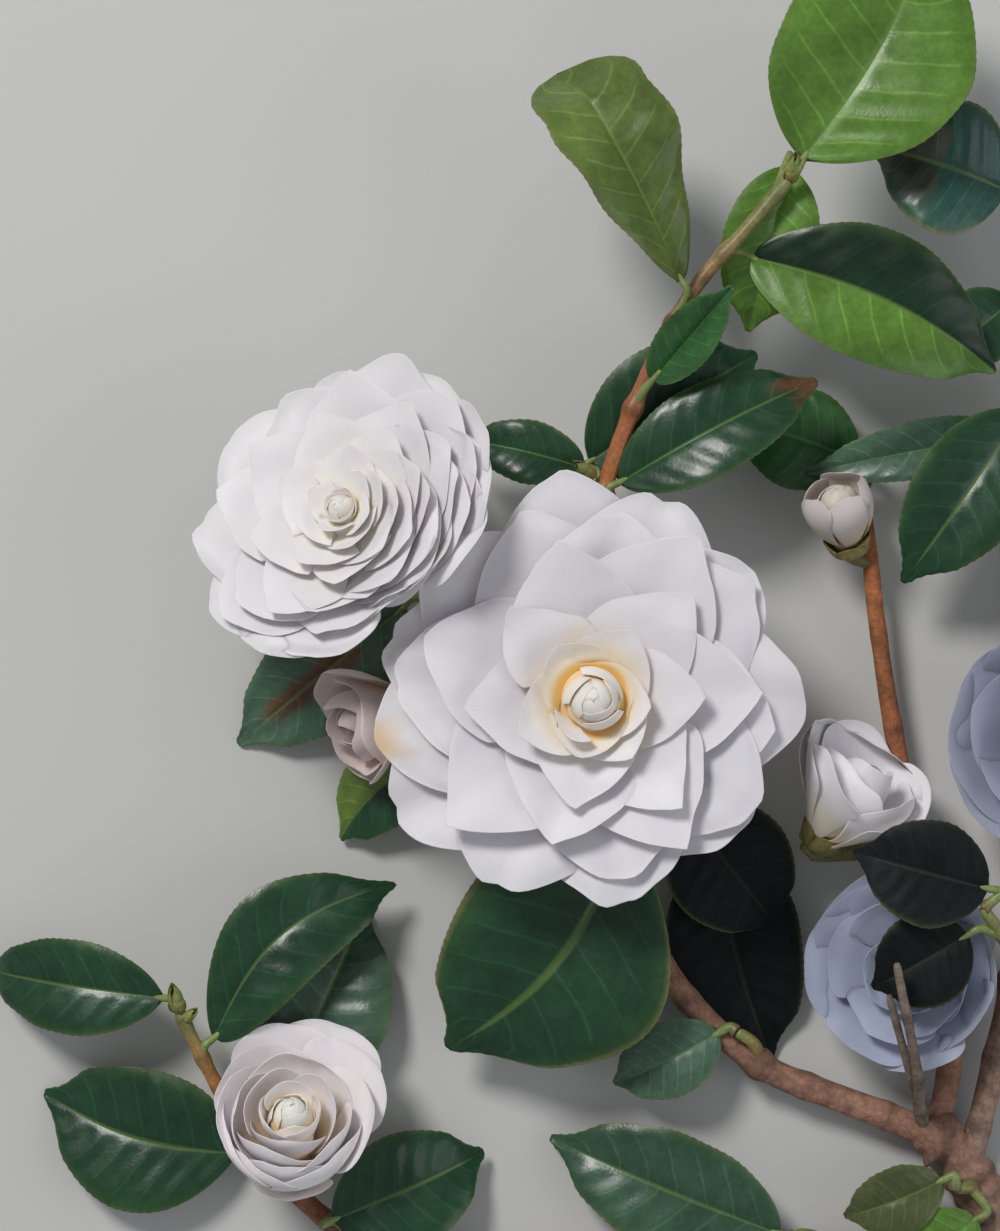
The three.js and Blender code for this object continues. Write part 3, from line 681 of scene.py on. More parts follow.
def add_petals(pile, petals, looks, place, rng):
    for shape in petals:
        ring = shape | looks
        points, u, v, t = petal(ring, rng)
        top, under = petal_tints(ring, rng, u, t)
        if ring["stain"] is not None:
            ragged = 0.05 * ripple(rng, u * 4, t * 6, 6)
            beside = np.abs(u - ring["stain"]) + ragged
            mark = (smoothstep(0.74, 1, t + ragged) * smoothstep(0.42, 0.08, beside))[..., None]
            top, under = mix(top, STAIN, 0.75 * mark), mix(under, STAIN, 0.6 * mark)
        blade(pile, placed(points, place), thinned(u, v), top, under, u, v)


HEART_CUPS = 4
HEART_FOLDS = 7


def add_heart(pile, bottom, top, r, place, rng, tone, cups):
    """The closed heart: petals folded over each other to a dome, inside a rim of upright ones."""
    u, v = scale_grid(15, 16)
    base = mix(bottom, top, 0.5)
    for k in range(cups + HEART_FOLDS):
        turn = k * TURN_STEP + rng.uniform(-0.15, 0.15)
        if k < cups:
            share = k / (cups - 1)
            t = v * (1 - 0.3 * np.abs(u - 0.3) ** 1.5)
            wide = r * mix(1.34, 1.62, share)
            reach = mix(wide * 0.88, wide, smoothstep(0, 0.5, t)) - 0.4 * r * smoothstep(0.5, 1, t)
            z = bottom + mix(0.9, 0.8, share) * (top - bottom) * t + 0.2 * np.sin(u * 3 + k)
            spread = 1
        else:
            share = (k - cups) / (HEART_FOLDS - 1)
            t = v * (1 - 0.3 * np.abs(u) ** 1.6)
            climb = t * mix(1.9, 0.98, share)
            reach = r * mix(0.94, 1.16, share) * np.cos(climb)
            z = base + (top - base) * mix(0.9, 1, share) * np.sin(climb)
            spread = mix(1.6, 1.25, share)
        points = placed(wrapped(reach, z, turn, spread, 0.1, u), place)
        tint = mix(mix(CREAM, YELLOW, 0.6), HEART_WHITE, smoothstep(0.1, 0.6, t)[..., None]) * tone
        blade(pile, points, thinned(u, v), tint, tint, u, v)


LATHE_SIDES = 28


def lathe(pile, profile, tint, place):
    """A closed round body about Z through [r, z] pairs, in one tint or in one for each pair."""
    profile = np.array(profile, float)
    turn = np.linspace(0, 2 * pi, LATHE_SIDES, endpoint=False)
    r, z = profile[:, 0][:, None], profile[:, 1][:, None]
    points = np.stack([r * np.cos(turn), r * np.sin(turn), z + 0 * turn], axis=-1).reshape(-1, 3)
    ends = np.array([[0, 0, profile[0, 1]], [0, 0, profile[-1, 1]]])
    points = placed(np.vstack([points, ends]), place)
    tint = np.broadcast_to(np.array(tint, float), (len(profile), 3))
    tints = np.vstack([np.repeat(tint, LATHE_SIDES, axis=0), tint[0], tint[-1]])
    first = pile.add(points, tints, np.zeros((len(points), 2)))
    close_rings(pile, first, len(profile), LATHE_SIDES)


SEPALS = 7
SEPAL_THIN = 0.22
SEPAL_TINTS = np.array([[0.20, 0.19, 0.06], [0.33, 0.27, 0.08]])
SEPAL_EDGE = np.array([0.16, 0.08, 0.03])
STALK_BROWN = np.array([0.17, 0.11, 0.05])
BLOOM_STALK = 1.6, 2.4


def add_calyx(name, spec, place, rng):
    """The sepals round a bloom's core, and the stalk that it stands on."""
    pile = Pile()
    core = spec["core"]
    base = core[0][0] + 0.8
    wide = max(r for r, _ in core) * 0.9
    tall = core[-1][1] * 0.45
    u, v = scale_grid()
    for k in range(SEPALS):
        t = v * (1 - 0.3 * np.abs(u) ** 2)
        r = mix(1.9, mix(base, wide + 1.3, t), smoothstep(0, 0.25, t)) + 0.25 * k / SEPALS
        z = -1.2 + 0.22 * k + t * tall
        tint = mix(*SEPAL_TINTS, t[..., None]) * rng.uniform(0.85, 1.15)
        tint = mix(tint, SEPAL_EDGE, (0.5 * margin(u, v, 0.85))[..., None])
        points = placed(wrapped(r, z, k * TURN_STEP, 0.75, 0.04, u), place)
        blade(pile, points, SEPAL_THIN, tint, tint, u, v)
    axis = place[0][2] * 1.5
    path = Smooth([spec["seat"], place[1] - axis, place[1] + axis])
    share = np.linspace(0, 1, 14)
    tint = mix(STALK_BROWN, SEPAL_TINTS[0], share[:, None])
    tube(pile, path.point(share), mix(*BLOOM_STALK, share), tint, rng, rough=0.08, sides=14)
    pile.build(f"{name}_calyx", (SCALE_SKIN,), name)


def add_bloom(name, spec):
    """A bloom on its stalk: groups of petals, the heart on its core, and the calyx."""
    rng = np.random.default_rng(spec["seed"])
    place = along_axis(spec["foot"], spec["facing"])
    # This factor scales all of a bloom's colours; in the third, shaded and edge blooms it also darkens them
    # as painted shade.
    tone = np.array(spec.get("tone", (1, 1, 1)))
    for index, petals in enumerate(spec["petals"]):
        pile = Pile()
        add_petals(pile, petals, {"tone": tone} | spec.get("looks", {}), place, rng)
        pile.build(f"{name}_petals_{index + 1}", (PETAL,), name)
    pile = Pile()
    core = spec["core"]
    top = core[-1][1]
    r, heart_top = spec["heart"]
    cups = spec.get("cups", HEART_CUPS)
    add_heart(pile, top - 2, heart_top, r, place, rng, tone, cups)
    full = r * 1.45 if cups else r
    filling = [(full, top + 1)] + [(full * k, mix(top, heart_top, t)) for k, t in ((0.9, 0.5), (0.62, 0.62))]
    profile = [(r * 0.93, z) for r, z in core] + filling
    lathe(pile, profile, np.array(spec.get("filling", GOLD)) * tone, place)
    pile.build(f"{name}_heart", (PETAL,), name)
    add_calyx(name, spec, place, rng)


# Stems: the points that each passes through and its radii at both ends, as in the construction,
# its colours from base to tip and the roughness of its skin.
OLD_BARK = (0.28, 0.19, 0.145)
TAN_BARK = (0.29, 0.15, 0.10)
RED_BARK = (0.27, 0.095, 0.048)
ORANGE_BARK = (0.45, 0.155, 0.042)
GREEN_BARK = (0.20, 0.24, 0.07)
DEAD_BARK = (0.19, 0.145, 0.11)


def wood(points, thick, thin, colours, rough):
    return points, thick, thin, colours, rough, BARK, "bark"


def shoot(points, thick, thin, colours=(RED_BARK, GREEN_BARK), rough=0.04):
    return points, thick, thin, colours, rough, YOUNG_BARK, "shoot"


STEMS = {
    "old_wood": wood(
        [[124, -152, 5.6], [114, -138, 5.8], [103, -121, 7], [96, -118.5, 8]], 5.6, 4.2,
        (OLD_BARK, TAN_BARK), 0.09),
    "flowering_branch": wood(
        [[101.5, -120.5, 7.2], [83, -113, 8], [60, -103.5, 9], [40, -84, 12], [28, -58, 15], [22.5, -34, 17],
         [20.1, -17, 18]], 3.3, 2.3, (TAN_BARK, TAN_BARK, RED_BARK), 0.07),
    "leading_shoot": shoot(
        [[20.4, -19, 18], [20.5, -4, 20], [22, 22, 24], [32.5, 53, 30], [43.5, 73, 35], [54, 85, 37],
         [64.5, 97, 38]], 2.2, 1.4, (ORANGE_BARK, ORANGE_BARK, RED_BARK, GREEN_BARK)),
    "left_spur": shoot(
        [[23.5, -38, 16.5], [10, -24, 19], [-6, -4, 22], [-19, 12, 26]], 2.2, 1.8, (RED_BARK, ORANGE_BARK),
        rough=0.05),
    "lower_left_branch": wood(
        [[114, -138, 5.8], [90, -146, 5], [45, -150, 5], [0, -150, 6], [-34, -143, 8], [-54, -126, 11]], 3.4,
        2.2, (OLD_BARK, TAN_BARK, RED_BARK), 0.07),
    "lower_left_shoot": shoot(
        [[-53, -127, 11], [-62, -112, 15], [-68.5, -99, 18], [-73, -90, 19]], 2, 1.3,
        (RED_BARK, ORANGE_BARK, GREEN_BARK)),
    "right_branch": wood(
        [[101, -119.5, 7.4], [104, -98, 8], [100, -64, 8], [92.4, -36, 9], [86.5, -1, 11], [84.5, 16, 12.5],
         [82.5, 30, 13]], 2.8, 1.7, (TAN_BARK, RED_BARK, ORANGE_BARK), 0.06),
    "edge_branch": wood(
        [[108, -129, 6.4], [114, -104, 7], [121, -70, 7], [128, -30, 8], [128.5, 8, 10]], 3, 2.3,
        (OLD_BARK, TAN_BARK, TAN_BARK), 0.07),
    "edge_shoot": shoot(
        [[128.5, 6, 9.9], [128, 22, 11.5], [124, 50, 15], [120, 84, 20], [118, 92, 22]], 2.1, 1.3,
        (ORANGE_BARK, RED_BARK, GREEN_BARK)),
    "under_shoot": shoot(
        [[29.5, -61, 14.6], [33, -56, 20], [32, -50, 23]], 1.7, 1.4, (RED_BARK, ORANGE_BARK)),
    "node_shoot": shoot([[60, -103.5, 9], [58, -98, 13], [54, -95, 15]], 1.7, 1.3),
    "lower_shoot": shoot([[78, -147.5, 5], [72, -143, 9], [68, -142, 11]], 1.7, 1.4),
    "middle_shoot": shoot([[-28, -145, 7.6], [-34, -141, 12], [-38, -138, 13]], 1.7, 1.4),
    "inner_shoot": shoot([[118, -84, 7], [116, -80, 20], [112.5, -72, 32], [107, -65, 37]], 1.7, 1.3),
    "base_shoot": shoot([[111, -133, 6], [108, -131, 12], [104, -131, 15]], 1.7, 1.3),
    "bud_shoot": shoot([[83, 28, 13], [84.5, 32, 11], [85, 35, 9]], 1.4, 1.2),
    "dead_twigs": wood(
        [[98, -119, 8], [95.5, -111, 16], [93.5, -104, 31], [87.2, -76.5, 43]], 1.5, 0.9,
        (DEAD_BARK, DEAD_BARK), 0.12),
    "dead_twigs_side": wood(
        [[95.5, -111, 16], [92, -103, 29], [86, -84, 38.5]], 1.2, 0.8, (DEAD_BARK, DEAD_BARK), 0.12),
}


def leaf(at, foot, tip, half, top, **looks):
    """A leaf's share of its stem, and its foot, tip and half-width as in the construction."""
    return dict(at=at, foot=foot, tip=tip, half=half, top=top) | looks


LEAVES = {
    "leading_shoot": [
        leaf(0.35, [19, 33.5, 21], [-8, 40, 17], 7.5, DARK, roll=8, tip_burn=0.5, rim=0.5),
        leaf(0.36, [20.5, 35, 20], [58.7, 60, 16], 15, DARK, arch=5),
        leaf(0.34, [27, 30, 27], [71.2, 53, 27], 11, DARK, roll=-10, arch=5, tip_burn=0.8),
        leaf(0.52, [34, 52.5, 33], [50.5, 71.5, 46], 6.5, MID, fold=0.6, arch=-2, under=OLIVE),
        # This folded leaf has one half darker than the other: painted shade.
        leaf(0.68, [40, 74, 40], [15, 120, 46], 14.5, OLIVE * 0.8, fold=0.35, roll=24, arch=6,
             other=OLIVE * 0.6, wave=0.09, blunt=1.6, sway=2, droop=6, rim=0.6),
        # One half of this leaf is darkened to half the dark green as painted shade; the other half is bright
        # yellow-green.
        leaf(0.83, [56, 80, 32], [112, 55, 25], 15, DARK * 0.5, arch=6, sway=3, other=BRIGHT * 0.7),
        leaf(0.96, [64, 100, 32], [56, 64, 24], 11, BRIGHT * 0.8, arch=4),
        leaf(1, [67, 101, 40], [95, 152, 36], 22, BRIGHT * 0.75, arch=5, sway=-3, curl=0.08),
    ],
    "left_spur": [
        leaf(0.8, [-22, 2, 12], [-61, -30, 1.2], 13, GREYISH, arch=1.5, droop=0.3, curl=0.05,
             scorch=((0.3, 0.78, 0.32, 0.9),)),
        # This leaf's dark half is painted shade, where the bloom above shades it; the other half is lit
        # olive.
        leaf(0.3, [-12, -33, 9], [-37, -52, 3], 10, DARK, fold=0.4, arch=2, sway=-4, other=OLIVE, droop=0.5),
    ],
    "under_shoot": [
        leaf(1, [28, -50, 23], [-12, -99, 16], 26, DARK, arch=6, fold=0.1, sway=6, rim=0.8, curl=0.07),
        # The next two leaves are near black with dark midribs: painted shade.
        leaf(0.8, [42, -44, 15], [64, -72, 9], 15, PAINTED_SHADE_DARK * 1.6, rim=0.5, fresh=0.05, skin=LEAF_PAINTED_SHADE),
        leaf(0.4, [50, -52, 8], [63, -103, 1.5], 16, PAINTED_SHADE_DARK, arch=1.5, sway=-2, droop=0.2, curl=0.04,
             fresh=0.02, skin=LEAF_PAINTED_SHADE),
    ],
    "node_shoot": [leaf(1, [50, -95.5, 14], [26, -108, 9], 9, GREYISH)],
    "lower_shoot": [leaf(1, [64, -142, 11], [11.6, -121, 5], 14, mix(DARK, GREYISH, 0.4), arch=5, rim=0.5)],
    "middle_shoot": [leaf(1, [-38, -138, 15], [-3.5, -124, 6], 13.5, DARK, arch=4)],
    "inner_shoot": [
        # Both leaves here are near black with dark midribs: painted shade.
        leaf(1, [108, -60.5, 37], [78.5, -52.5, 37], 12, PAINTED_SHADE_DARK * 1.3, fresh=0.03, skin=LEAF_PAINTED_SHADE),
        leaf(0.75, [104, -71, 34.5], [83, -83, 33], 11, PAINTED_SHADE_DARK, arch=1.5, fresh=0.02, skin=LEAF_PAINTED_SHADE),
    ],
    "base_shoot": [
        leaf(1, [101, -129, 15], [79, -138, 12], 8, mix(MID, SCORCH, 0.4)),
        leaf(0.6, [109, -138, 14], [88, -152, 10], 9, BRIGHT * 0.7),
    ],
    "lower_left_shoot": [
        leaf(0.95, [-77, -87, 18], [-120, -82, 3], 11, DARK, arch=5),
        leaf(0.72, [-65, -96, 18], [-24, -61.5, 12], 12, DARK, arch=5, sway=8),
        leaf(0.4, [-50, -110, 9], [-31, -68, 3], 16, GREYISH * 0.8, droop=0.4),
        leaf(0.15, [-61, -124, 8], [-106, -111, 1.2], 17, DARK, arch=4, sway=3, droop=0.2),
    ],
    "edge_shoot": [
        leaf(0.45, [118, 46, 22], [91.5, 7.5, 20], 13, DARK, arch=4),
        leaf(0.5, [118, 42, 14], [70.5, 33, 13], 7, GREYISH, fold=0.4, rim=0.5),
        leaf(0.85, [117, 72, 15], [100, 58, 17], 9, DARK),
        leaf(1, [114, 96, 24], [84, 105.5, 26], 15.5, BLUISH * 1.2, arch=5, rim=0.9,
             scorch=((0.55, 0.95, 0.9, 0.35),)),
    ],
    "bud_shoot": [leaf(1, [82.5, 36, 8], [54, 46, 4], 12, MID, droop=0.5)],
}


def nearest_share(curve, point):
    """The share of a curve's length at its point nearest to the given one."""
    gap = np.linalg.norm(curve.points - np.asarray(point, float), axis=1)
    return curve.at[int(np.argmin(gap))] / curve.length


# The bark swells a little where something grows on, and in rings this far apart.
KNOT_SWELL, KNOT_WIDTH = 0.3, 2.1
FIRST_RING, RING_APART, RING_SWELL = (6, 14), (11, 22), (0.05, 0.14)
STEM_STEP = 0.9
WOOD_THICK = 2.5
WOOD_SIDES, SHOOT_SIDES = 26, 18


def add_stem(name, node, knots, seed):
    through, thick, thin, colours, rough, material, slot = STEMS[name]
    rng = np.random.default_rng(seed)
    curve = Smooth(through)
    share = np.linspace(0, 1, int(curve.length / STEM_STEP) + 2)
    radius = mix(thick, thin, share)
    place = share * curve.length
    swells = [(k * curve.length, KNOT_SWELL) for k in knots]
    start = rng.uniform(*FIRST_RING)
    while start < curve.length - 4:
        swells.append((start, rng.uniform(*RING_SWELL)))
        start += rng.uniform(*RING_APART)
    for at, size in swells:
        radius = radius * (1 + size * bump(place - at, KNOT_WIDTH))
    radius = radius * (1 - 0.35 * smoothstep(curve.length - 1.2, curve.length, place))
    steps = np.linspace(0, 1, len(colours))
    tint = np.stack([np.interp(share, steps, [c[k] for c in colours]) for k in range(3)], axis=-1)
    tint = tint * (1 + 0.12 * ripple(rng, place * 0.05, 0 * place, 6))[:, None]
    for at, _ in swells:
        tint = tint * (1 - 0.3 * bump(place - at, 1.3))[:, None]
    pile = Pile()
    sides = WOOD_SIDES if thick > WOOD_THICK else SHOOT_SIDES
    tube(pile, curve.point(share), radius, tint, rng, rough, sides)
    pile.build(name + "_stem", (material,), node)


CURVES = {name: Smooth(spec[0]) for name, spec in STEMS.items()}
# What grows on each stem, apart from leaves.
JOINS = {
    "old_wood": ("flowering_branch", "lower_left_branch", "right_branch", "edge_branch", "base_shoot"),
    "flowering_branch": ("left_spur", "under_shoot", "node_shoot"),
    "lower_left_branch": ("lower_left_shoot", "lower_shoot", "middle_shoot"),
    "right_branch": ("bud_shoot",),
    "edge_branch": ("inner_shoot", "edge_shoot"),
}
STEM_SEED, BUD_SEED, LEAF_SEED = 100, 300, 1000
LEAF_SEED_STEP = 20
for index, name in enumerate(STEMS):
    knots = [nearest_share(CURVES[name], STEMS[child][0][0]) for child in JOINS.get(name, ())]
    knots += [spec["at"] for spec in LEAVES.get(name, ()) if spec["at"] < 1]
    add_stem(name, name.replace("_side", ""), knots, STEM_SEED + index)

for index, (name, leaves) in enumerate(LEAVES.items()):
    for number, spec in enumerate(leaves):
        seed = LEAF_SEED + LEAF_SEED_STEP * index + number
        add_leaf(f"{name}_leaf_{number + 1}", name, CURVES[name], spec, seed)

# Leaf buds at the tips of shoots and beside leaf stalks: foot, facing, length and thickness.
BUDS = {
    "leading_shoot": (([20.8, 31.5, 26.5], [-0.55, 0.35, 0.7], 7.5, 2.1),
                      ([63.8, 96, 38], [0.2, 0.75, 0.6], 8, 2)),
    "lower_left_shoot": (([-73, -90, 19], [-0.1, 0.75, 0.6], 9, 2.3),
                         ([-72, -92, 19], [0.6, 0.5, 0.6], 6, 1.6)),
    "edge_shoot": (([118, 92, 22], [0.2, 0.8, 0.5], 8, 2),),
    "left_spur": (([4, -16, 20.5], [-0.2, 0.4, 0.9], 5, 1.5),),
}
for index, (name, buds) in enumerate(BUDS.items()):
    pile = Pile()
    rng = np.random.default_rng(BUD_SEED + index)
    for bud in buds:
        add_bud(pile, *bud, rng)
    pile.build(name + "_buds", (SCALE_SKIN,), name)

# The cut face of the old wood: the radii of its bark and of its first and last ring, and how far it
# stands out.
RING_COUNT = 15
CUT_RADIUS, FIRST_WOOD, LAST_WOOD, CUT_OUT = 5.45, 5.3, 0.4, 0.35
PALE_WOOD, LATE_WOOD, CUT_BARK = np.array([[0.55, 0.40, 0.24], [0.36, 0.23, 0.12], [0.2, 0.13, 0.08]])
cut_at, cut_next = np.array(STEMS["old_wood"][0][:2], float)
cut_face = Pile()
profile = [(CUT_RADIUS, 0)] + [(r, CUT_OUT) for r in np.linspace(FIRST_WOOD, LAST_WOOD, RING_COUNT)]
ring_tints = [CUT_BARK, CUT_BARK] + [LATE_WOOD if k % 2 else PALE_WOOD for k in range(RING_COUNT - 1)]
lathe(cut_face, profile, ring_tints, along_axis(cut_at, cut_at - cut_next))
cut_face.build("old_wood_cut", (BARK,), "old_wood")


def level(tips, half, foot, height, bow, crown, pull, point, **looks):
    """A level of petals: its tips, and the half-width, profile and tip shape that all of them share."""
    shape = dict(tips=tips, half=half, foot=foot, height=height, bow=bow, crown=crown, pull=pull,
                 point=point)
    return shape | looks


OUTERMOST = dict(cup=0.04, curl=-0.05, notch=0.05, wave=0.06, fine=1.25, deep=CREAM)
# Tips are [degrees, reach], measured round the bloom's axis, and some have a skew. In the left and
# the shaded bloom, and at the back of the small one, they are [x, y] as seen from above.
MAIN_LEVELS = [
    level([[230, 9.6, 0.3]], 6.5, [6.4, 27], 33.4, 0.95, -1, 0.5, 1.1, wrap=1, lean=0.1, glow=(0, 0.3)),
    level([[7.7, 12.5], [117, 14.4], [252, 12.8]], 22, [6.3, 26], 32.3, 0.74, -4.4, 0.6, 1.8, wrap=1,
          lean=0.15, cup=0, glow=(0.34, 1), fine=1.5),
    level([[61, 17.3], [199, 17.7], [310, 15.2]], 17, [7.3, 25], 31.3, 0.74, -4, 0.62, 1.3, wrap=0.8,
          glow=(0.2, 0.8), fine=1.2),
    level([[1.5, 24.5], [124, 27.5, 0.25], [265, 24]], 17.5, [8.3, 23.8], 30, 0.64, -4.5, 0.7, 1,
          glow=(0.05, 0.55), deep=CREAM, fine=1.1),
    level([[49, 31.7], [187, 28.3], [313, 30.5]], 18.5, [9, 22.3], 28.8, 0.6, -5, 0.66, 0.9, glow=(0, 0.45),
          deep=CREAM, fine=1.1),
    level([[5.4, 37.2], [102, 35.5], [251, 32.5], [305, 38, -0.1]], 19.5, [9.5, 20.8], 27.6, 0.58, -5, 0.6,
          0.75, deep=CREAM, fine=1.1),
    level([[59, 42.5], [162, 40.1], [218, 41.4, 0.1]], 20, [9.5, 19.2], 26, 0.56, -5, 0.56, 0.65, deep=CREAM,
          fine=1.1),
    level([[34, 44], [83, 42], [116, 44, -0.2], [173, 45], [278, 41], [322, 44.5], [353, 41]], 20, [9.5, 17],
          24, 0.56, -5, 0.52, 0.4, cup=0, curl=-0.03, notch=0.04, fine=1.2, deep=CREAM),
    level([[0.4, 48], [40, 46], [68, 48.5], [137, 48], [163, 47.5], [187, 48.5], [243, 47.5], [280, 46],
           [318, 45]], 19, [9, 14.5], 21.5, 0.54, -4.5, 0.46, 0.2, **OUTERMOST, stains={5: 0.2}),
    level([[98, 51], [211, 51.5]], 19, [9, 12.5], 20, 0.54, -4.5, 0.46, 0.2, **OUTERMOST),
]
IVORY, WARM = (0.93, 0.88, 0.79), (0.93, 0.83, 0.64)
LEFT_LEVELS = [
    level([[-33, 27.4], [-38.2, 25], [-35.6, 20.6]], 7, [2.4, 24], 28.6, 1, -2, 0.6, 1.2, wrap=0.8),
    level([[-30.9, 31.7], [-41.9, 27.1], [-38.2, 18.4], [-28.5, 21.5]], 7.5, [3, 24], 28.6, 0.85, -2.5, 0.6,
          1.25, wrap=0.6),
    level([[-44.8, 20], [-34.1, 37.9], [-25.7, 29.3], [-31, 15.5]], 10, [4, 22.8], 28.2, 0.8, -3, 0.55, 1.2,
          wrap=0.5),
    level([[-49.2, 29.7], [-23.8, 40.4], [-42.8, 10.8], [-21.5, 24], [-25.5, 14.5]], 12.5, [5, 21], 27.6,
          0.76, -3.5, 0.55, 1.15),
    level([[-39.1, 45.3], [-55.1, 16.1], [-34.1, 7], [-17.5, 32.5], [-18.5, 18.5]], 14, [5.6, 19], 26.9,
          0.74, -4, 0.53, 1.1),
    level([[-20.9, 47.4], [-55.6, 37.8], [-51.9, 2], [-14.6, 25.5], [-22, 8.5]], 15.5, [6, 17], 26, 0.72,
          -4.5, 0.52, 1),
    level([[-32.7, 54.1], [-63.3, 28], [-40, 0.5], [-11.8, 38.5], [-14, 14.5], [-29, 4]], 16, [6.2, 15], 25,
          0.7, -5, 0.48, 0.9, wave=0.06),
    level([[-58.7, 3.8], [-22.3, 58.5], [-48.2, 50.3], [-9.5, 47.6], [-8.6, 28.4], [-16.5, 9]], 16.5,
          [6.2, 12.5], 23.5, 0.7, -5, 0.46, 0.7, wave=0.07, notch=0.03),
    level([[-6, 38.5], [-6.2, 24.5], [-12.5, 11.5], [-22, 4.5], [-40, -4], [-62, 0]], 16, [6.1, 11], 22, 0.7,
          -5, 0.48, 0.6, wave=0.07, notch=0.03),
    level([[-68, 19.3], [-65.3, 2.5], [-61.4, 41.2], [-38.2, 53.5], [-14.1, 53], [-4.5, 43.9], [-2.2, 32.1],
           [-3.6, 21.1], [-13.2, 12], [-29.1, -0.7], [-44.6, -8.7], [-56.4, -5.7]], 16, [6, 9.5], 20.5, 0.68,
          -5, 0.45, 0.2, cup=0.04, curl=-0.05, notch=0.05, wave=0.08, fine=1.05),
]


def soft(tips, half, foot, height, **looks):
    """A level of a smaller bloom: the soft petals of a bloom that isn't quite open."""
    shape = level(tips, half, foot, height, bow=0.8, crown=-3.5, pull=0.54, point=0.85, wave=0.06,
                  notch=0.02, glow=(0, 0.35), deep=CREAM)
    return shape | looks


def around(count, start, reach):
    """Tips all round, a little uneven."""
    return [[start + 360 * k / count, reach * (1 + 0.05 * sin(5 * k + start))] for k in range(count)]


def small_bloom(seat, axis, seed, size, petals, **rest):
    """A smaller bloom, whose core and heart go with its size."""
    core = [[size * 0.1, size * 0.02], [size * 0.17, size * 0.15], [size * 0.2, size * 0.4],
            [size * 0.16, size * 0.66]]
    foot, facing = axis
    heart = size * 0.13, size
    return dict(seat=seat, foot=foot, facing=facing, seed=seed, core=core, heart=heart, petals=petals) | rest


GLOBE_LEVELS = [
    soft([[85, 6.2], [205, 6.8], [325, 6.2]], 10, [3.4, 13], 27.6, bow=1.2, crown=-2.5, wrap=0.85, point=0.6,
         glow=(0.2, 0.7)),
    soft([[20, 9.2], [140, 9.8], [255, 8.6]], 13.5, [3.6, 9], 27.4, bow=1.3, crown=-3.5, wrap=0.75,
         glow=(0.2, 0.6)),
    soft([[80, 13], [165, 12], [320, 11.6], [250, 10.6]], 16, [3.8, 5.5], 26.4, bow=1.4, crown=-5, wrap=0.6,
         glow=(0.15, 0.55)),
    soft([[222, 14], [262, 12.4], [308, 13.6], [200, 14.4]], 16, [3.8, 3], 23.5, bow=1.4, crown=-6.5,
         wrap=0.7, point=0.3),
]
GLOBE_BACK = [
    soft([[-57.5, -98.5], [-48.5, -92.2], [-36.3, -92], [-30, -98.5], [-28.2, -108.5], [-62.8, -107.5]],
         15.5, [4, 3], 25, bow=0.98, point=0.5, fine=1.1, wave=0.08),
    soft([[-46.5, -130.6], [-54, -126.5]], 11, [4, 2.6], 10, bow=0.98, crown=-1.5, point=0.5, wave=0.1),
]
SHADED_LEVELS = [
    soft([[88, -78.5], [93.5, -78], [91.5, -84.5]], 8, [3, 16], 21, wrap=0.8),
    soft([[82.5, -76], [92, -71.5], [99.5, -78.5], [97, -88], [85, -88]], 12.5, [4, 13.5], 20),
    soft([[77, -69], [93, -63], [104, -76], [99, -93], [81, -93]], 17, [4.8, 11], 18, bow=0.66, wrap=0.3,
         point=0.6),
    soft([[70.5, -71], [82.5, -57.5], [98, -59], [108.5, -70], [109.5, -86], [99.5, -99.5], [85, -102.5],
          [73.5, -92]], 20, [5, 8], 15, bow=0.62, wrap=0.2, point=0.4, fine=1.4, wave=0.1),
]
EDGE_LEVELS = [
    soft(around(4, 20, 7.5), 9, [3.5, 17], 27, wrap=0.8),
    soft(around(5, 50, 13.5), 15, [4.6, 14], 26),
    soft(around(5, 10, 20), 19, [5.2, 11], 24, bow=0.68, wrap=0.3, point=0.6),
    soft(around(7, 33, 26.5), 22, [5.6, 8], 20.5, bow=0.64, wrap=0.2, point=0.4, fine=1.4, wave=0.1),
]
RIGHT_LEVELS = [
    soft([[-80, 2], [40, 2.5], [160, 2.5]], 9, [3, 9], 25.5, bow=3.2, crown=-6, wrap=0.9),
    soft([[-95, 2.5], [80, 8]], 16, [3.6, 6], 27, bow=3.6, crown=-8, wrap=0.7, point=0.4),
    soft([[-150, 9], [-35, 10.5], [110, 14]], 17, [3.8, 5], 26.5, bow=1.6, crown=-7, wrap=0.65, point=0.4,
         wave=0.1),
    soft([[190, 16], [-18, 16], [150, 17], [60, 15]], 19, [4.2, 4], 25.5, bow=1, wrap=0.6, point=0.3,
         wave=0.1, fine=1.2),
]
THIRD_LEVELS = [
    soft([[60, 2], [180, 2.5], [300, 2.5]], 7.5, [2.6, 8], 20.5, bow=3, crown=-5, wrap=0.9),
    soft([[105, 5.5], [0, 6], [225, 4]], 12.5, [3.2, 6], 21, bow=2, crown=-6, wrap=0.8, point=0.5, wave=0.1),
    soft([[48, 10.5], [150, 13], [-62, 13], [250, 10]], 16.5, [3.6, 4], 19.5, bow=1.2, wrap=0.6, point=0.4,
         wave=0.12, fine=1.1),
]

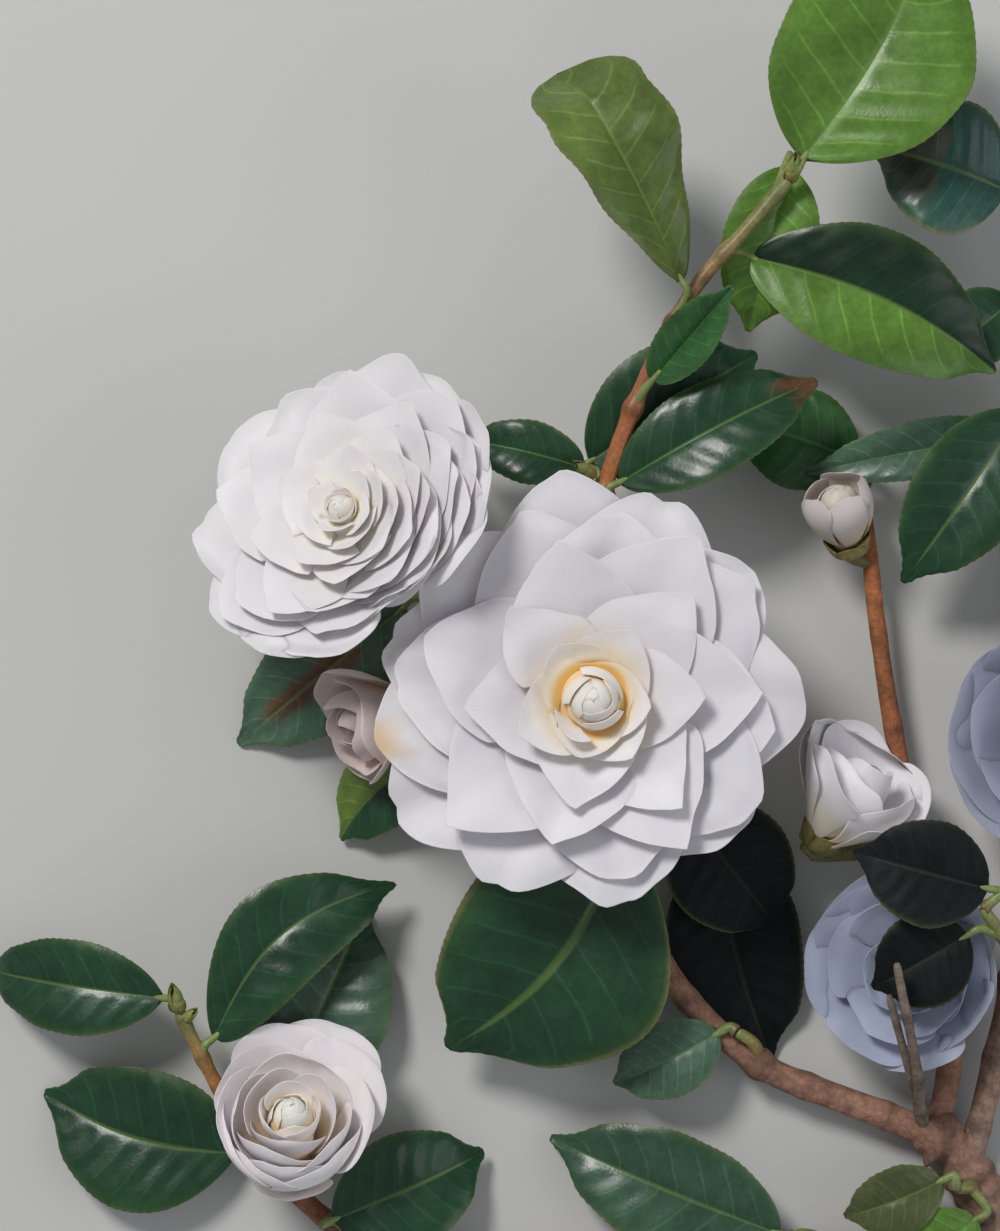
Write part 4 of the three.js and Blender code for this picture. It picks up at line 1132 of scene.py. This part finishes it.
# Foot and facing of the blooms whose tips are seen from above.
LEFT_AXIS = [-23.5, 15.5, 32], [-0.42, 0.30, 0.857]
GLOBE_AXIS = [-47, -126, 13.5], [0.02, 0.62, 0.78]
SHADED_AXIS = [95, -81, 8.5], [-0.2, 0, 0.95]
BUD_LEVELS = [
    level([[0, 5.2], [72, 5.4], [144, 5.1], [216, 5.4], [288, 5.2]], 6, [3.2, 3], 18.2, 2.1, -5, 0.4, 0.4,
          cup=0.2, glow=(0.2, 0.5), deep=(0.45, 0.5, 0.15), crease=0),
]
BLOOMS = {
    "main_bloom": dict(
        seat=[20.1, -17, 18], foot=[20.1, -18.3, 26], facing=[0, 0, 1], seed=11, heart=(4.2, 35.8),
        core=[[4, 0.5], [10, 8], [12.5, 18], [11, 23], [8, 26.3]], petals=levelled(MAIN_LEVELS)),
    "left_bloom": dict(
        seat=[-18.5, 11.5, 26], foot=LEFT_AXIS[0], facing=LEFT_AXIS[1], seed=23, heart=(2.7, 28.8), cups=0,
        core=[[3.5, 0.5], [7, 8], [7.5, 17], [5, 23]], petals=seen(LEFT_LEVELS, *LEFT_AXIS),
        tone=(0.98, 0.98, 0.97), filling=IVORY,
        looks=dict(deep=WARM, cream=IVORY, glow=(0.2, 0.65), crease=0.02, cup=0)),
    # Its pinkish tan tone is partly the petals' own tint and partly painted shade.
    "third_bloom": small_bloom(
        [-3, -8, 21.5], ([-19, -19, 19], [-0.85, -0.35, 0.42]), seed=31, size=21,
        petals=levelled(THIRD_LEVELS), tone=(0.86, 0.74, 0.69), looks=dict(blush=0.2), heart=(1.4, 17)),
    "small_bloom": small_bloom(
        [-47, -131.5, 10], GLOBE_AXIS, seed=37, size=24,
        petals=levelled(GLOBE_LEVELS) + seen(GLOBE_BACK, *GLOBE_AXIS), tone=(1.12, 1.1, 1.08),
        heart=(3.6, 28)),
    "right_bloom": small_bloom(
        [97, -54, 8.2], ([71.5, -52.5, 15], [0.50, 0.72, 0.48]), seed=41, size=25,
        petals=levelled(RIGHT_LEVELS), tone=(1.08, 1.08, 1.08), heart=(1.6, 21)),
    # Its dark bluish tone is painted shade.
    "shaded_bloom": small_bloom(
        [101.5, -80, 8], SHADED_AXIS, seed=43, size=21, petals=seen(SHADED_LEVELS, *SHADED_AXIS),
        tone=(0.44, 0.51, 0.65)),
    # Its dark bluish tone is painted shade.
    "edge_bloom": small_bloom(
        [128, -30, 8], ([128, -27, 14], [-0.15, 0, 0.95]), seed=47, size=28, petals=levelled(EDGE_LEVELS),
        tone=(0.38, 0.43, 0.55)),
    "opening_bud": dict(
        seat=[85, 12, 12], foot=[80, 15, 15], facing=[-0.25, 0.75, 0.55], seed=53, heart=(4, 17.4), cups=0,
        core=[[3, 0.5], [4.2, 4], [4.4, 10]], petals=levelled(BUD_LEVELS), tone=(0.78, 0.73, 0.69)),
}
for name, spec in BLOOMS.items():
    add_bloom(name, spec)

# Floor and studio light, with the key light at the upper left as in the photograph.
FLOOR_SIZE = 6
FLOOR_COLOUR = (0.52, 0.52, 0.51, 1)
AIM = Vector((0, 0, 0.03))
SKY_COLOUR = (0.92, 0.96, 1, 1)
SKY_STRENGTH = 0.34

floor_shade = Shade("floor")
floor_shade.put(floor_shade.surface, Base_Color=FLOOR_COLOUR, Roughness=0.9)
bpy.ops.mesh.primitive_plane_add(size=FLOOR_SIZE)
floor = bpy.context.object
floor.name = "floor"
floor.data.materials.append(floor_shade.material)


def soft_light(name, place, size, power, colour):
    data = bpy.data.lights.new(name, "AREA")
    data.shape, data.size, data.energy, data.color = "DISK", size, power, colour
    light = bpy.data.objects.new(name, data)
    light.location = place
    light.rotation_euler = (AIM - Vector(place)).to_track_quat("-Z", "Y").to_euler()
    scene.collection.objects.link(light)


soft_light("key_light", place=(-0.55, 0.75, 1.15), size=0.4, power=14.6, colour=(1, 0.98, 0.95))
soft_light("side_light", place=(1.1, -0.3, 0.8), size=0.9, power=3, colour=(0.93, 0.96, 1))
world = bpy.data.worlds.new("studio")
world.use_nodes = True
sky = world.node_tree.nodes["Background"].inputs
sky["Color"].default_value, sky["Strength"].default_value = SKY_COLOUR, SKY_STRENGTH
scene.world = world
scene.view_settings.view_transform = "Standard"
